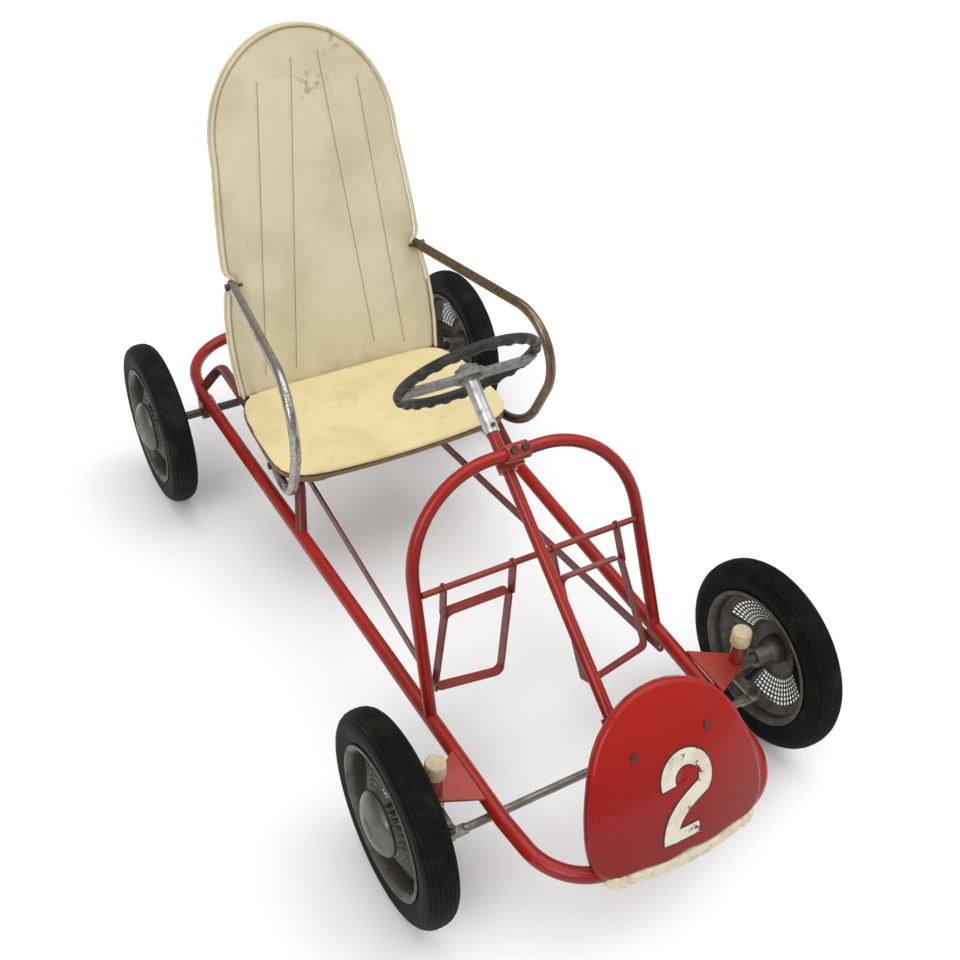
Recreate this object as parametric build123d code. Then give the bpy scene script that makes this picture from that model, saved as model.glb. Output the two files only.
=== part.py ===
from build123d import *
import math
import os

os.makedirs("parts", exist_ok=True)

# A child's pedal go kart: a bent steel tube frame on four 254 mm disc wheels, with a tall
# seat, a tilted steering column and two pedals that drive a cranked rear axle by flat rods.
# Lengths are millimetres. The drawing has X to the driver's left, Y rearwards from the front
# axle and Z up from the ground; write() then moves everything so that the finished kart's
# origin lies on the ground under the middle of its length.

# ---------------------------------------------------------------- driving dimensions
WHEEL_RADIUS = 127.0          # ten inch wheel over the tyre
TYRE_WIDTH = 42.0
RIM_RADIUS = 84.0             # where the tyre sits
HALF_TRACK = 264.0
WHEELBASE = 827.0
ORIGIN_BEHIND_AXLE = 400.2    # front axle to the middle of the kart's length

FRAME_TUBE_R = 9.5            # 19 mm perimeter tube
FRAME_WALL = 1.6
FRAME_FRONT_Z = 127.0         # tube centre above the front axle
FRAME_RISE = 0.022            # the frame climbs gently to the rear
HOOP_TUBE_R = 8.0             # 16 mm dash hoop
HOOP_WALL = 1.5
COLUMN_R = 7.5                # 15 mm steering column tube
COLUMN_WALL = 1.5
FIT = 0.05                    # radial clearance of a running fit
GAP = 0.3                     # room between faces that move past each other

AXLE_R = 6.35                 # half-inch bar
CRANK_THROW = 42.0
CRANK_ANGLE = 255.0           # left crank, measured from the rear upwards
ROD_REAR_X = 116.0            # middle of each connecting rod at its crank pin and its pedal
ROD_FRONT_X = 135.8

COLUMN_COS = 0.8              # the column leans on a three-four-five slope
COLUMN_SIN = 0.6
COLUMN_HEIGHT_AT_AXLE = 195.5

KINGPIN_X = 214.0
KINGPIN_R = 5.0
STEER_ARM = 39.5              # knuckle arm, straight ahead of the kingpin
TIE_Z = 110.0

PIVOT_Y = 157.0               # pedal pivot rod
PIVOT_Z = 279.0
PIVOT_R = 4.0
PEDAL_DROP_OUT = 166.0        # pivot rod to the foot bar's outer and inner ends
PEDAL_DROP_IN = 184.0
PEDAL_LEFT_SWING = 28.0       # rest angle of each pedal, degrees ahead of plumb
PEDAL_RIGHT_SWING = 0.0
STRIP = 3.0                   # thickness of the pedal strip
STRIP_WIDTH = 13.0

HOOP_FOOT_Y = 103.0
HOOP_LEAN = 0.385             # rearward lean, run over rise
HOOP_TOP_Z = 402.0

SEAT_TOP_Z = 221.0
SEAT_BOARD = 6.0
SEAT_PAD = 9.0
BACK_FOOT = (722.0, 226.0)    # backrest foot on its mid plane, Y and Z
BACK_LEAN = 15.2              # degrees behind upright


def write(name, shape):
    """Put a finished piece in the kart's own frame and save it."""
    export_step(Pos(0, -ORIGIN_BEHIND_AXLE, 0) * shape, f"parts/{name}.step")


def frame_z(y):
    """Height of the perimeter tube's centre at a distance behind the front axle."""
    return FRAME_FRONT_Z + FRAME_RISE * y


def column_point(y, up=0.0):
    """A point on the steering column's axis, or a distance square above it."""
    return (0, y - COLUMN_SIN * up, COLUMN_HEIGHT_AT_AXLE + 0.75 * y + COLUMN_COS * up)


def rod(start, end, radius, bore=0.0):
    """A straight round bar, or a tube with a bore, between two points."""
    a = Vector(*start)
    b = Vector(*end)
    plane = Plane(origin=a, z_dir=b - a)
    section = plane * Circle(radius)
    if bore:
        section -= plane * Circle(bore)
    return extrude(section, amount=(b - a).length, dir=(b - a).normalized())


def bent_rod(points, bends, radius, bore=0.0):
    """A round bar or tube bent at each inner point to the given centre-line radius."""
    path = FilletPolyline(*points, radius=bends)
    plane = Plane(origin=path @ 0, z_dir=path % 0)
    section = plane * Circle(radius)
    if bore:
        section -= plane * Circle(bore)
    return sweep(section, path=path)


def mirrored(shape):
    """The same piece on the other side of the kart."""
    return mirror(shape, about=Plane.YZ)


def hexagon(centre, axis, across, thick):
    """A hexagon head or nut standing on a point along an axis."""
    plane = Plane(origin=Vector(*centre), z_dir=Vector(*axis))
    return extrude(plane * RegularPolygon(across / math.sqrt(3), 6), amount=thick)


# ---------------------------------------------------------------- perimeter frame
# One closed loop of 19 mm tube, butt welded from a front bow, two side rails that spread
# a little towards the rear, and a rear bow.
BOW_FRONT_Y = -168.5
BOW_CORNER_X = 148.0
BOW_FRONT_BEND = 75.0
BOW_REAR_Y = 987.0
RAIL_FRONT = (160.0, -60.0)
RAIL_REAR = (184.0, 770.0)
RAIL_SPREAD = (RAIL_REAR[0] - RAIL_FRONT[0]) / (RAIL_REAR[1] - RAIL_FRONT[1])


def rail_x(y):
    """Half width of the frame between the two rails' ends."""
    return RAIL_FRONT[0] + RAIL_SPREAD * (y - RAIL_FRONT[1])


def frame_point(x, y):
    return (x, y, frame_z(y))


front_route = [
    frame_point(-RAIL_FRONT[0], RAIL_FRONT[1]),
    frame_point(-BOW_CORNER_X, BOW_FRONT_Y),
    frame_point(BOW_CORNER_X, BOW_FRONT_Y),
    frame_point(*RAIL_FRONT),
]
REAR_BEND_Y = 845.0
rear_route = [
    frame_point(-RAIL_REAR[0], RAIL_REAR[1]),
    frame_point(-rail_x(REAR_BEND_Y), REAR_BEND_Y),
    frame_point(-167, BOW_REAR_Y),
    frame_point(167, BOW_REAR_Y),
    frame_point(rail_x(REAR_BEND_Y), REAR_BEND_Y),
    frame_point(*RAIL_REAR),
]
REAR_BENDS = [150, 112, 112, 150]
front_bow = bent_rod(front_route, BOW_FRONT_BEND, FRAME_TUBE_R, FRAME_TUBE_R - FRAME_WALL)
rear_bow = bent_rod(rear_route, REAR_BENDS, FRAME_TUBE_R, FRAME_TUBE_R - FRAME_WALL)
front_core = bent_rod(front_route, BOW_FRONT_BEND, FRAME_TUBE_R)
rear_core = bent_rod(rear_route, REAR_BENDS, FRAME_TUBE_R)
rail_ends = (frame_point(*RAIL_FRONT), frame_point(*RAIL_REAR))
left_rail = rod(*rail_ends, FRAME_TUBE_R, FRAME_TUBE_R - FRAME_WALL)
rail_core = rod(*rail_ends, FRAME_TUBE_R)

write("frame_front_bow", front_bow - rail_core - mirrored(rail_core))
write("frame_rear_bow", rear_bow)
write("frame_rail_left", left_rail)
write("frame_rail_right", mirrored(left_rail))

# ---------------------------------------------------------------- dash hoop
# A bent 16 mm tube standing on the rails, leaning back, welded where its feet are coped.
hoop_foot_z = frame_z(HOOP_FOOT_Y)
hoop_top_y = HOOP_FOOT_Y + HOOP_LEAN * (HOOP_TOP_Z - hoop_foot_z)
HOOP_SHOULDER_X = 151.0
hoop_foot_x = rail_x(HOOP_FOOT_Y)
hoop = bent_rod(
    [
        (-hoop_foot_x, HOOP_FOOT_Y, hoop_foot_z),
        (-HOOP_SHOULDER_X, hoop_top_y, HOOP_TOP_Z),
        (HOOP_SHOULDER_X, hoop_top_y, HOOP_TOP_Z),
        (hoop_foot_x, HOOP_FOOT_Y, hoop_foot_z),
    ],
    124,
    HOOP_TUBE_R,
    HOOP_TUBE_R - HOOP_WALL,
)
hoop = hoop - rail_core - mirrored(rail_core)
hoop = max(hoop.solids(), key=lambda s: s.volume)
write("dash_hoop", hoop)


def hoop_x(z):
    """Half width between the hoop's leg centres at a height on its straight part."""
    rise = (z - hoop_foot_z) / (HOOP_TOP_Z - hoop_foot_z)
    return hoop_foot_x + (HOOP_SHOULDER_X - hoop_foot_x) * rise


# The pedals hang on a thin rod across the hoop, welded to the insides of its legs.
pivot_half = hoop_x(PIVOT_Z) - HOOP_TUBE_R + 0.6
pivot_rod = rod((-pivot_half, PIVOT_Y, PIVOT_Z), (pivot_half, PIVOT_Y, PIVOT_Z), PIVOT_R)
write("pedal_pivot_rod", pivot_rod - hoop)

# ---------------------------------------------------------------- seat tubes
# Two bent tubes carry the seat board. Each leaves the rail behind the rear axle, turns
# forwards under the board's edge and bends down to a foot on the rail ahead of the seat.
SEAT_TUBE_R = 8.0
seat_tube_top = SEAT_TOP_Z - SEAT_PAD - SEAT_BOARD
seat_tube_z = seat_tube_top - SEAT_TUBE_R
STRUT_FOOT_Y = 470.0
seat_tube = bent_rod(
    [
        (rail_x(845) - 3, 858, frame_z(858)),
        (147, 858, 182),
        (155, 735, seat_tube_z),
        (157, 512, seat_tube_z),
        (rail_x(STRUT_FOOT_Y), STRUT_FOOT_Y, frame_z(STRUT_FOOT_Y)),
    ],
    [22, 60, 26],
    SEAT_TUBE_R,
    SEAT_TUBE_R - HOOP_WALL,
)
seat_tube = seat_tube - rail_core - rear_core
seat_tube = max(seat_tube.solids(), key=lambda s: s.volume)

# ---------------------------------------------------------------- kingpin plates and posts
# A triangular plate welded along each rail carries the post in which the kingpin turns,
# and a knurled plastic cap closes the post.
PLATE_Z = 136.0
PLATE_THICK = 3.0
POST_R = 9.0
POST_TOP = 171.0
CAP_TOP = 193.0


def kingpin_plate():
    """The plate with its post welded on top, bored for the kingpin."""
    inner = rail_x(0) + 6.0
    outline = Polyline(
        (inner, -34), (KINGPIN_X, -13), (KINGPIN_X + 12, -5), (KINGPIN_X + 12, 7),
        (KINGPIN_X, 13), (inner + 1, 42), close=True,
    )
    plate = extrude(Plane.XY.offset(PLATE_Z) * make_face(outline), amount=PLATE_THICK)
    post = Pos(KINGPIN_X, 0, PLATE_Z) * Cylinder(
        POST_R, POST_TOP - PLATE_Z, align=(Align.CENTER, Align.CENTER, Align.MIN)
    )
    bore = Pos(KINGPIN_X, 0, 0) * Cylinder(KINGPIN_R + FIT, 400)
    return plate + post - rail_core - front_core - bore


CAP_R = 12.5
CAP_GRIPS = 18


def kingpin_cap():
    cap = Pos(KINGPIN_X, 0, POST_TOP) * Cylinder(
        CAP_R, CAP_TOP - POST_TOP, align=(Align.CENTER, Align.CENTER, Align.MIN)
    )
    cap = fillet(cap.edges().group_by(Axis.Z)[-1], 3.0)
    for k in range(CAP_GRIPS):
        angle = 2 * math.pi * k / CAP_GRIPS
        cap -= Pos(
            KINGPIN_X + (CAP_R + 0.6) * math.cos(angle),
            (CAP_R + 0.6) * math.sin(angle),
            POST_TOP + 5,
        ) * Cylinder(1.3, CAP_TOP - POST_TOP, align=(Align.CENTER, Align.CENTER, Align.MIN))
    return cap


plate_left = kingpin_plate()
cap_left = kingpin_cap()
write("kingpin_plate_left", plate_left)
write("kingpin_plate_right", mirrored(plate_left))
write("kingpin_cap_left", cap_left)
write("kingpin_cap_right", mirrored(cap_left))

# ---------------------------------------------------------------- knuckles and tie rod
# Each forged knuckle is a kingpin, a block under the plate, a stub axle for the wheel and
# an arm that points forwards to the tie rod.
STUB_R = 6.0
KNUCKLE_TOP = PLATE_Z - 0.5
ARM_LOW = TIE_Z + 2.5


def knuckle():
    pin_low = ARM_LOW
    pin = Pos(KINGPIN_X, 0, pin_low) * Cylinder(
        KINGPIN_R, POST_TOP - 1.0 - pin_low, align=(Align.CENTER, Align.CENTER, Align.MIN)
    )
    block = Pos(KINGPIN_X, 0, ARM_LOW) * Cylinder(
        11, KNUCKLE_TOP - ARM_LOW, align=(Align.CENTER, Align.CENTER, Align.MIN)
    )
    stub = rod((KINGPIN_X, 0, WHEEL_RADIUS), (HALF_TRACK + 27, 0, WHEEL_RADIUS), STUB_R)
    collar = rod((KINGPIN_X, 0, WHEEL_RADIUS), (HALF_TRACK - 27, 0, WHEEL_RADIUS), 9)
    arm = Pos(KINGPIN_X, -STEER_ARM / 2, ARM_LOW) * Box(
        13, STEER_ARM, 5, align=(Align.CENTER, Align.CENTER, Align.MIN)
    )
    eye = Pos(KINGPIN_X, -STEER_ARM, ARM_LOW) * Cylinder(
        8, 5, align=(Align.CENTER, Align.CENTER, Align.MIN)
    )
    whole = pin + block + stub + collar + arm + eye
    return whole - Pos(KINGPIN_X, -STEER_ARM, ARM_LOW) * Cylinder(3.05, 40)


knuckle_left = knuckle()
write("knuckle_left", knuckle_left)
write("knuckle_right", mirrored(knuckle_left))

# The tie rod is a 10 mm bar with flattened ends under the knuckle arms. A slotted plate
# stands on its middle and takes the pin of the steering column's arm.
TIE_R = 5.0
TIE_FLAT = 4.0
FORK_Y = -91.0
FORK_THICK = 3.0
FORK_SLOT = 9.0
FORK_TOP = 184.0


def tie_rod():
    bar = rod((-KINGPIN_X + 16, -STEER_ARM, TIE_Z), (KINGPIN_X - 16, -STEER_ARM, TIE_Z), TIE_R)
    for side in (-1, 1):
        flat = Pos(side * (KINGPIN_X - 6), -STEER_ARM, TIE_Z) * Box(32, 13, TIE_FLAT)
        bar += fillet(flat.edges().filter_by(Axis.Z), 5.0)
    for side in (-1, 1):
        bar -= Pos(side * KINGPIN_X, -STEER_ARM, TIE_Z) * Cylinder(3.05, 30)
    return bar


def fork_plate():
    half = 15.0
    foot_z = TIE_Z + 2.0
    upright = Pos(0, FORK_Y, foot_z) * Box(
        2 * half, FORK_THICK, FORK_TOP - foot_z, align=(Align.CENTER, Align.CENTER, Align.MIN)
    )
    foot_length = -STEER_ARM - FORK_Y
    foot = Pos(0, FORK_Y, foot_z) * Box(
        2 * half, foot_length, 3.0, align=(Align.CENTER, Align.MIN, Align.MIN)
    )
    slot = Pos(0, FORK_Y, 142) * Box(
        FORK_SLOT, 20, 100, align=(Align.CENTER, Align.CENTER, Align.MIN)
    )
    return (upright + foot - slot)


tie = tie_rod()
fork = fork_plate() - rod((-60, -STEER_ARM, TIE_Z), (60, -STEER_ARM, TIE_Z), TIE_R)
write("tie_rod", tie)
write("tie_rod_fork", fork)


def tie_bolt(x):
    """A bolt up through the tie rod's end and the knuckle arm, with its nut on top."""
    top = ARM_LOW + 5 + GAP
    head_z = TIE_Z - TIE_FLAT / 2 - 4
    shank = Pos(x, -STEER_ARM, head_z) * Cylinder(
        3.0, top + 8 - head_z, align=(Align.CENTER, Align.CENTER, Align.MIN)
    )
    head = hexagon((x, -STEER_ARM, head_z), (0, 0, 1), 10, 4)
    nut = hexagon((x, -STEER_ARM, top), (0, 0, 1), 10, 5)
    return shank + head + nut


write("tie_rod_bolts", Compound([tie_bolt(-KINGPIN_X), tie_bolt(KINGPIN_X)]))

# ---------------------------------------------------------------- wheels
# A pressed disc with a channel rim, a bulging hub cone, a hub tube and a solid rubber tyre.


def tyre():
    """Round crowned ring with flat beads on the rim and shallow grooves round the tread."""
    height = WHEEL_RADIUS - RIM_RADIUS
    half = TYRE_WIDTH / 2
    with BuildPart() as made:
        with BuildSketch(Plane.XZ):
            with BuildLine():
                Polyline((RIM_RADIUS, -13), (RIM_RADIUS + 6, -half + 3))
                Spline(
                    (RIM_RADIUS + 6, -half + 3),
                    (RIM_RADIUS + height * 0.5, -half),
                    (WHEEL_RADIUS - 6, -half + 6.5),
                    (WHEEL_RADIUS, 0),
                    (WHEEL_RADIUS - 6, half - 6.5),
                    (RIM_RADIUS + height * 0.5, half),
                    (RIM_RADIUS + 6, half - 3),
                )
                Polyline((RIM_RADIUS + 6, half - 3), (RIM_RADIUS, 13), (RIM_RADIUS, -13))
            make_face()
        revolve(axis=Axis.Z)
    return Rot(0, 90, 0) * made.part


def wheel_disc():
    """Disc and rim turned from one profile, radius against distance outwards."""
    profile = [
        (RIM_RADIUS - 0.0, -13.0), (RIM_RADIUS + 5.0, -18.5), (RIM_RADIUS + 3.2, -20.0),
        (RIM_RADIUS - 2.5, -14.0), (RIM_RADIUS - 2.5, 3.0), (66, 6.0), (30, 16.5),
        (13.0, 19.5), (13.0, 22.5), (31, 19.5), (67, 9.0), (RIM_RADIUS - 4.0, 6.0),
        (RIM_RADIUS - 2.5, 14.0), (RIM_RADIUS + 3.2, 20.0), (RIM_RADIUS + 5.0, 18.5),
        (RIM_RADIUS, 13.0),
    ]
    face = Plane.XZ * make_face(Polyline(*profile, close=True))
    return Rot(0, 90, 0) * revolve(face, axis=Axis.Z)


def wheel_hub():
    """Turned hub tube, brazed into the disc."""
    return Rot(0, 90, 0) * (Pos(0, 0, 1) * Cylinder(14, 43))


def hub_cap():
    """Domed cap over the axle nut."""
    dome = Cylinder(19, 3, align=(Align.CENTER, Align.CENTER, Align.MIN))
    dome += Pos(0, 0, 3) * Cone(18, 11, 9, align=(Align.CENTER, Align.CENTER, Align.MIN))
    inner = Cylinder(10.5, 9.5, align=(Align.CENTER, Align.CENTER, Align.MIN))
    return Pos(22.8, 0, 0) * (Rot(0, 90, 0) * (dome - inner))


tyre_solid = tyre()
disc_blank = wheel_disc() + wheel_hub()
cap_solid = hub_cap()
for axle, place_y, bore in (("front", 0.0, STUB_R + FIT), ("rear", WHEELBASE, AXLE_R)):
    disc_solid = disc_blank - Rot(0, 90, 0) * Cylinder(bore, 80)
    for side, sign in (("left", 1), ("right", -1)):
        for name, solid in (("tyre", tyre_solid), ("disc", disc_solid), ("hub_cap", cap_solid)):
            piece = Pos(HALF_TRACK, place_y, WHEEL_RADIUS) * solid
            write(f"wheel_{axle}_{side}_{name}", piece if sign > 0 else mirrored(piece))

# ---------------------------------------------------------------- rear axle and drive
# A half-inch bar with a crank throw inside each rail, half a turn apart. It turns in two
# brackets under the rails and is fixed in both rear wheels.
THROW_OUT = 130.0             # where each crank leaves the axle line, from the middle
THROW_IN = 100.0
CRANK_BEND = 7.5


def crank_offset(side):
    """Y and Z of a crank pin from the axle line; side is 1 for left, -1 for right."""
    turn = math.radians(CRANK_ANGLE)
    return side * CRANK_THROW * math.cos(turn), side * CRANK_THROW * math.sin(turn)


def crank_axle():
    left_y, left_z = crank_offset(1)
    right_y, right_z = crank_offset(-1)
    end = HALF_TRACK + 30

    def at(x, dy, dz):
        return (x, WHEELBASE + dy, WHEEL_RADIUS + dz)

    return bent_rod(
        [
            at(-end, 0, 0), at(-THROW_OUT, 0, 0), at(-THROW_OUT, right_y, right_z),
            at(-THROW_IN, right_y, right_z), at(-THROW_IN, 0, 0), at(THROW_IN, 0, 0),
            at(THROW_IN, left_y, left_z), at(THROW_OUT, left_y, left_z),
            at(THROW_OUT, 0, 0), at(end, 0, 0),
        ],
        CRANK_BEND,
        AXLE_R,
    )


write("rear_crank_axle", crank_axle())

BRACKET_X = rail_x(WHEELBASE) if WHEELBASE < 845 else rail_x(845)


def axle_bracket():
    """A block under the rail, bored for the axle and welded to the tube."""
    top = frame_z(WHEELBASE) + 2
    block = Pos(BRACKET_X, WHEELBASE, WHEEL_RADIUS) * Rot(0, 90, 0) * Cylinder(12, 22)
    web = Pos(BRACKET_X, WHEELBASE, WHEEL_RADIUS) * Box(
        22, 24, top - WHEEL_RADIUS, align=(Align.CENTER, Align.CENTER, Align.MIN)
    )
    bore = rod((BRACKET_X - 60, WHEELBASE, WHEEL_RADIUS),
               (BRACKET_X + 60, WHEELBASE, WHEEL_RADIUS), AXLE_R + FIT)
    return block + web - bore - rear_core


bracket_left = axle_bracket()
write("axle_bracket_left", bracket_left)
write("axle_bracket_right", mirrored(bracket_left))

# Each connecting rod is a flat bar on edge, from its crank pin to a bolt near the bottom of
# the pedal. The left one runs on to a spare hole for a shorter reach.
ROD_THICK = 3.0
ROD_DEPTH = 13.0
ROD_HANG = 152.0              # pivot rod to the rod's bolt, along the pedal
ROD_SPARE = {1: 28.0, -1: 10.0}   # length of bar ahead of the bolt, left and right


def pedal_point(side, x, along, out=0.0):
    """A point on a pedal: a distance down from the pivot and out in front of its plane."""
    swing = math.radians(PEDAL_LEFT_SWING if side > 0 else PEDAL_RIGHT_SWING)
    y = PIVOT_Y - along * math.sin(swing) - out * math.cos(swing)
    z = PIVOT_Z - along * math.cos(swing) + out * math.sin(swing)
    return (x, y, z)


def connecting_rod(side):
    """A flat bar standing on edge, drilled square to the kart for pin and bolt."""
    dy, dz = crank_offset(side)
    pin = Vector(side * ROD_REAR_X, WHEELBASE + dy, WHEEL_RADIUS + dz)
    front = Vector(*pedal_point(side, side * ROD_FRONT_X, ROD_HANG))
    run = (front - pin).normalized()
    across = Vector(0, -run.Z, run.Y).normalized()
    plane = Plane(origin=pin, x_dir=run, z_dir=run.cross(across))
    bolt_at = (front - pin).length
    length = bolt_at + ROD_SPARE[side]
    flat = Pos(length / 2, 0) * SlotCenterToCenter(length, ROD_DEPTH) + Circle(11)
    bar = extrude(plane * flat, amount=ROD_THICK / 2, both=True)
    holes = [(pin, AXLE_R + FIT), (front, 3.2)]
    if side > 0:
        holes.append((pin + run * length, 3.2))
    for centre, radius in holes:
        half = Vector(10, 0, 0)
        bar -= rod(tuple(centre - half), tuple(centre + half), radius)
    return bar, front


rod_fronts = {}
for side, label in ((1, "left"), (-1, "right")):
    bar, rod_fronts[label] = connecting_rod(side)
    place = rod_fronts[label]
    shank = rod(
        (place.X + side * (ROD_THICK / 2 + 4), place.Y, place.Z),
        (place.X - side * (ROD_THICK / 2 + 1.5), place.Y, place.Z), 3.0,
    )
    head = hexagon((place.X + side * ROD_THICK / 2, place.Y, place.Z), (side, 0, 0), 10, 4)
    write(f"rod_bolt_{label}", shank + head)
    write(f"connecting_rod_{label}", bar - head)

# ---------------------------------------------------------------- pedals
# Each pedal is one strip bent into a tall loop, closed by a crossbar at the top, and hung
# on the pivot rod by two short drilled strips bolted outside the loop.
PEDAL_IN = 30.0
PEDAL_OUT = 119.0
PEDAL_FOOT_IN = 36.0
PEDAL_FOOT_OUT = 131.0
CROSSBAR_DROP = 40.0
HANGER_LENGTH = 46.0
PEDAL_BEND = 9.0


def pedal(side):
    top = pedal_point(side, 0, 0)
    down = Vector(*pedal_point(side, 0, 1)) - Vector(*top)
    plane = Plane(origin=Vector(*top), x_dir=Vector(1, 0, 0), z_dir=Vector(1, 0, 0).cross(down))
    # in this plane X runs across the kart and Y runs down the pedal

    def loop(grow):
        corners = Polyline(
            (side * (PEDAL_IN - grow), CROSSBAR_DROP - grow),
            (side * (PEDAL_OUT + grow), CROSSBAR_DROP - grow),
            (side * (PEDAL_FOOT_OUT + grow), PEDAL_DROP_OUT + grow),
            (side * (PEDAL_FOOT_IN - grow), PEDAL_DROP_IN + grow),
            close=True,
        )
        flat = make_face(corners)
        return fillet(flat.vertices(), PEDAL_BEND + grow)

    half = STRIP / 2
    ring = extrude(plane * (loop(half) - loop(-half)), amount=STRIP_WIDTH / 2, both=True)
    hangers = []
    for x in (PEDAL_IN - 1.1 - STRIP / 2, PEDAL_OUT + 1.1 + STRIP / 2):
        face = Plane(origin=Vector(*top) + Vector(side * x, 0, 0), x_dir=down,
                     z_dir=Vector(1, 0, 0))
        strip = Pos(HANGER_LENGTH / 2 - 2, 0) * SlotCenterToCenter(HANGER_LENGTH - 4, STRIP_WIDTH)
        strip -= Circle(PIVOT_R + FIT)
        hangers.append(extrude(face * strip, amount=STRIP / 2, both=True))
    return ring, hangers


for side, label in ((1, "left"), (-1, "right")):
    ring, hangers = pedal(side)
    write(f"pedal_frame_{label}", ring)
    write(f"pedal_hangers_{label}", Compound([h - ring for h in hangers]))

# ---------------------------------------------------------------- steering column
# The column tube runs under the hoop's top, through a clamp there and a bracket behind the
# cowl. Its lower end carries an upright arm whose pin works in the tie rod's slotted plate.
COLUMN_LOW_Y = -62.0
COLUMN_TOP_Y = 292.0
SLEEVE_LOW_Y = 263.0
SLEEVE_TOP_Y = 318.0
SLEEVE_R = 9.5
ARM_REACH = 25.0
ARM_PIN_R = 3.0
column_axis = (0, COLUMN_COS, COLUMN_SIN)

column_tube = rod(column_point(COLUMN_LOW_Y), column_point(COLUMN_TOP_Y), COLUMN_R,
                  COLUMN_R - COLUMN_WALL)


def steering_arm():
    """Flat arm across the column's lower end, with a pin that points forwards."""
    low = Vector(*column_point(COLUMN_LOW_Y))
    up = Vector(0, -COLUMN_SIN, COLUMN_COS)
    plane = Plane(origin=low, x_dir=up, z_dir=-Vector(*column_axis))
    flat = plane * (Pos(ARM_REACH / 2, 0) * SlotCenterToCenter(ARM_REACH, 16) + Circle(9.5))
    arm = extrude(flat, amount=4.0)
    pin_start = low + up * ARM_REACH
    pin = rod(tuple(pin_start), tuple(pin_start - Vector(*column_axis) * 22.0), ARM_PIN_R)
    return arm + pin


write("column_tube", column_tube)
write("steering_arm", steering_arm())

# A bright sleeve joins the handwheel to the tube and is held by one cross screw.
SCREW_Y = 269.0
sleeve = rod(column_point(SLEEVE_LOW_Y), column_point(SLEEVE_TOP_Y), SLEEVE_R, COLUMN_R)
screw_low = Vector(*column_point(SCREW_Y))
screw_way = Vector(0, -COLUMN_SIN, COLUMN_COS)
screw_hole = rod(tuple(screw_low), tuple(screw_low + screw_way * 20), 3.0)
sleeve_screw = rod(tuple(screw_low + screw_way * (COLUMN_R + 0.7)),
                   tuple(screw_low + screw_way * (SLEEVE_R + 1.5)), 3.0)
write("column_sleeve", sleeve - screw_hole)
write("sleeve_screw", sleeve_screw)

# ---------------------------------------------------------------- handwheel
# A moulded rim with finger bumps underneath, on a two-spoke bar with a stepped hub.
WHEEL_CENTRE_Y = 328.0
RIM_CIRCLE = 89.5
RIM_TUBE = 6.9
hand_plane = Plane(origin=Vector(*column_point(WHEEL_CENTRE_Y)), x_dir=Vector(1, 0, 0),
                   z_dir=Vector(*column_axis))
rim = hand_plane * Torus(RIM_CIRCLE, RIM_TUBE)
BUMPS = 24
bump_list = []
for k in range(BUMPS):
    turn = 2 * math.pi * (k + 0.5) / BUMPS
    spot = Pos(RIM_CIRCLE * math.cos(turn), RIM_CIRCLE * math.sin(turn), -3.2)
    bump_list.append(hand_plane * (spot * Sphere(5.2)))
rim = rim + bump_list
spoke_flat = Box(2 * RIM_CIRCLE, 30, 5)
SPOKE_DROP = 6.0
spokes = hand_plane * (Pos(0, 0, -SPOKE_DROP) * spoke_flat)
hub_low = SLEEVE_TOP_Y - WHEEL_CENTRE_Y
hub_steps = (
    Pos(0, 0, hub_low / COLUMN_COS) * Cylinder(15, 9, align=(Align.CENTER, Align.CENTER, Align.MIN))
    + Pos(0, 0, -9) * Cylinder(21, 8, align=(Align.CENTER, Align.CENTER, Align.MIN))
    + Pos(0, 0, -1) * Cylinder(15, 6, align=(Align.CENTER, Align.CENTER, Align.MIN))
    + Pos(0, 0, 5) * Cylinder(8, 4, align=(Align.CENTER, Align.CENTER, Align.MIN))
)
hub_solid = hand_plane * hub_steps
rim_core = hand_plane * Torus(RIM_CIRCLE, RIM_TUBE)
hub_body = (spokes + hub_solid) - rim_core - bump_list
hub_body = max(hub_body.solids(), key=lambda piece: piece.volume)
write("handwheel_rim", rim)
write("handwheel_hub", hub_body)

# ---------------------------------------------------------------- column clamp
# A saddle strap over the hoop's top, bolted through the hoop to a bearing collar in which
# the column turns.
hoop_crown = Vector(0, hoop_top_y, HOOP_TOP_Z)
CLAMP_HALF = 15.0


def hoop_crown_rod(radius, half):
    return rod((-half, hoop_top_y, HOOP_TOP_Z), (half, hoop_top_y, HOOP_TOP_Z), radius)


def perpendicular_foot():
    """The point of the column's axis straight below the hoop's crown."""
    along = Vector(*column_axis)
    start = Vector(*column_point(0))
    return start + along * (hoop_crown - start).dot(along)


foot = perpendicular_foot()
square_up = (hoop_crown - foot).normalized()
clamp_gap = (hoop_crown - foot).length


def column_clamp():
    plane = Plane(origin=foot, x_dir=Vector(1, 0, 0), z_dir=Vector(*column_axis))
    collar = plane * Cylinder(COLUMN_R + 4.5, 2 * CLAMP_HALF - 4)
    saddle = hoop_crown_rod(HOOP_TUBE_R + 3, CLAMP_HALF)
    neck_plane = Plane(origin=foot, x_dir=Vector(1, 0, 0), z_dir=square_up)
    neck = extrude(neck_plane * Rectangle(2 * CLAMP_HALF - 6, 16), amount=clamp_gap)
    flange = Pos(0, 0, 0) * (plane * (Pos(0, -COLUMN_R - 6, 0) * Box(36, 4, 22)))
    body = collar + saddle + neck + flange
    body -= hoop_crown_rod(HOOP_TUBE_R, 200)
    return body - rod(column_point(0), column_point(400), COLUMN_R + FIT)


write("column_clamp", column_clamp())
clamp_head_spot = hoop_crown + square_up * (HOOP_TUBE_R + 3)
clamp_bolts = []
for x in (-7.5, 7.5):
    spot = clamp_head_spot + Vector(x, 0, 0)
    clamp_bolts.append(hexagon(tuple(spot), tuple(square_up), 9, 4.5))
write("clamp_bolts", Compound(clamp_bolts))

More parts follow.
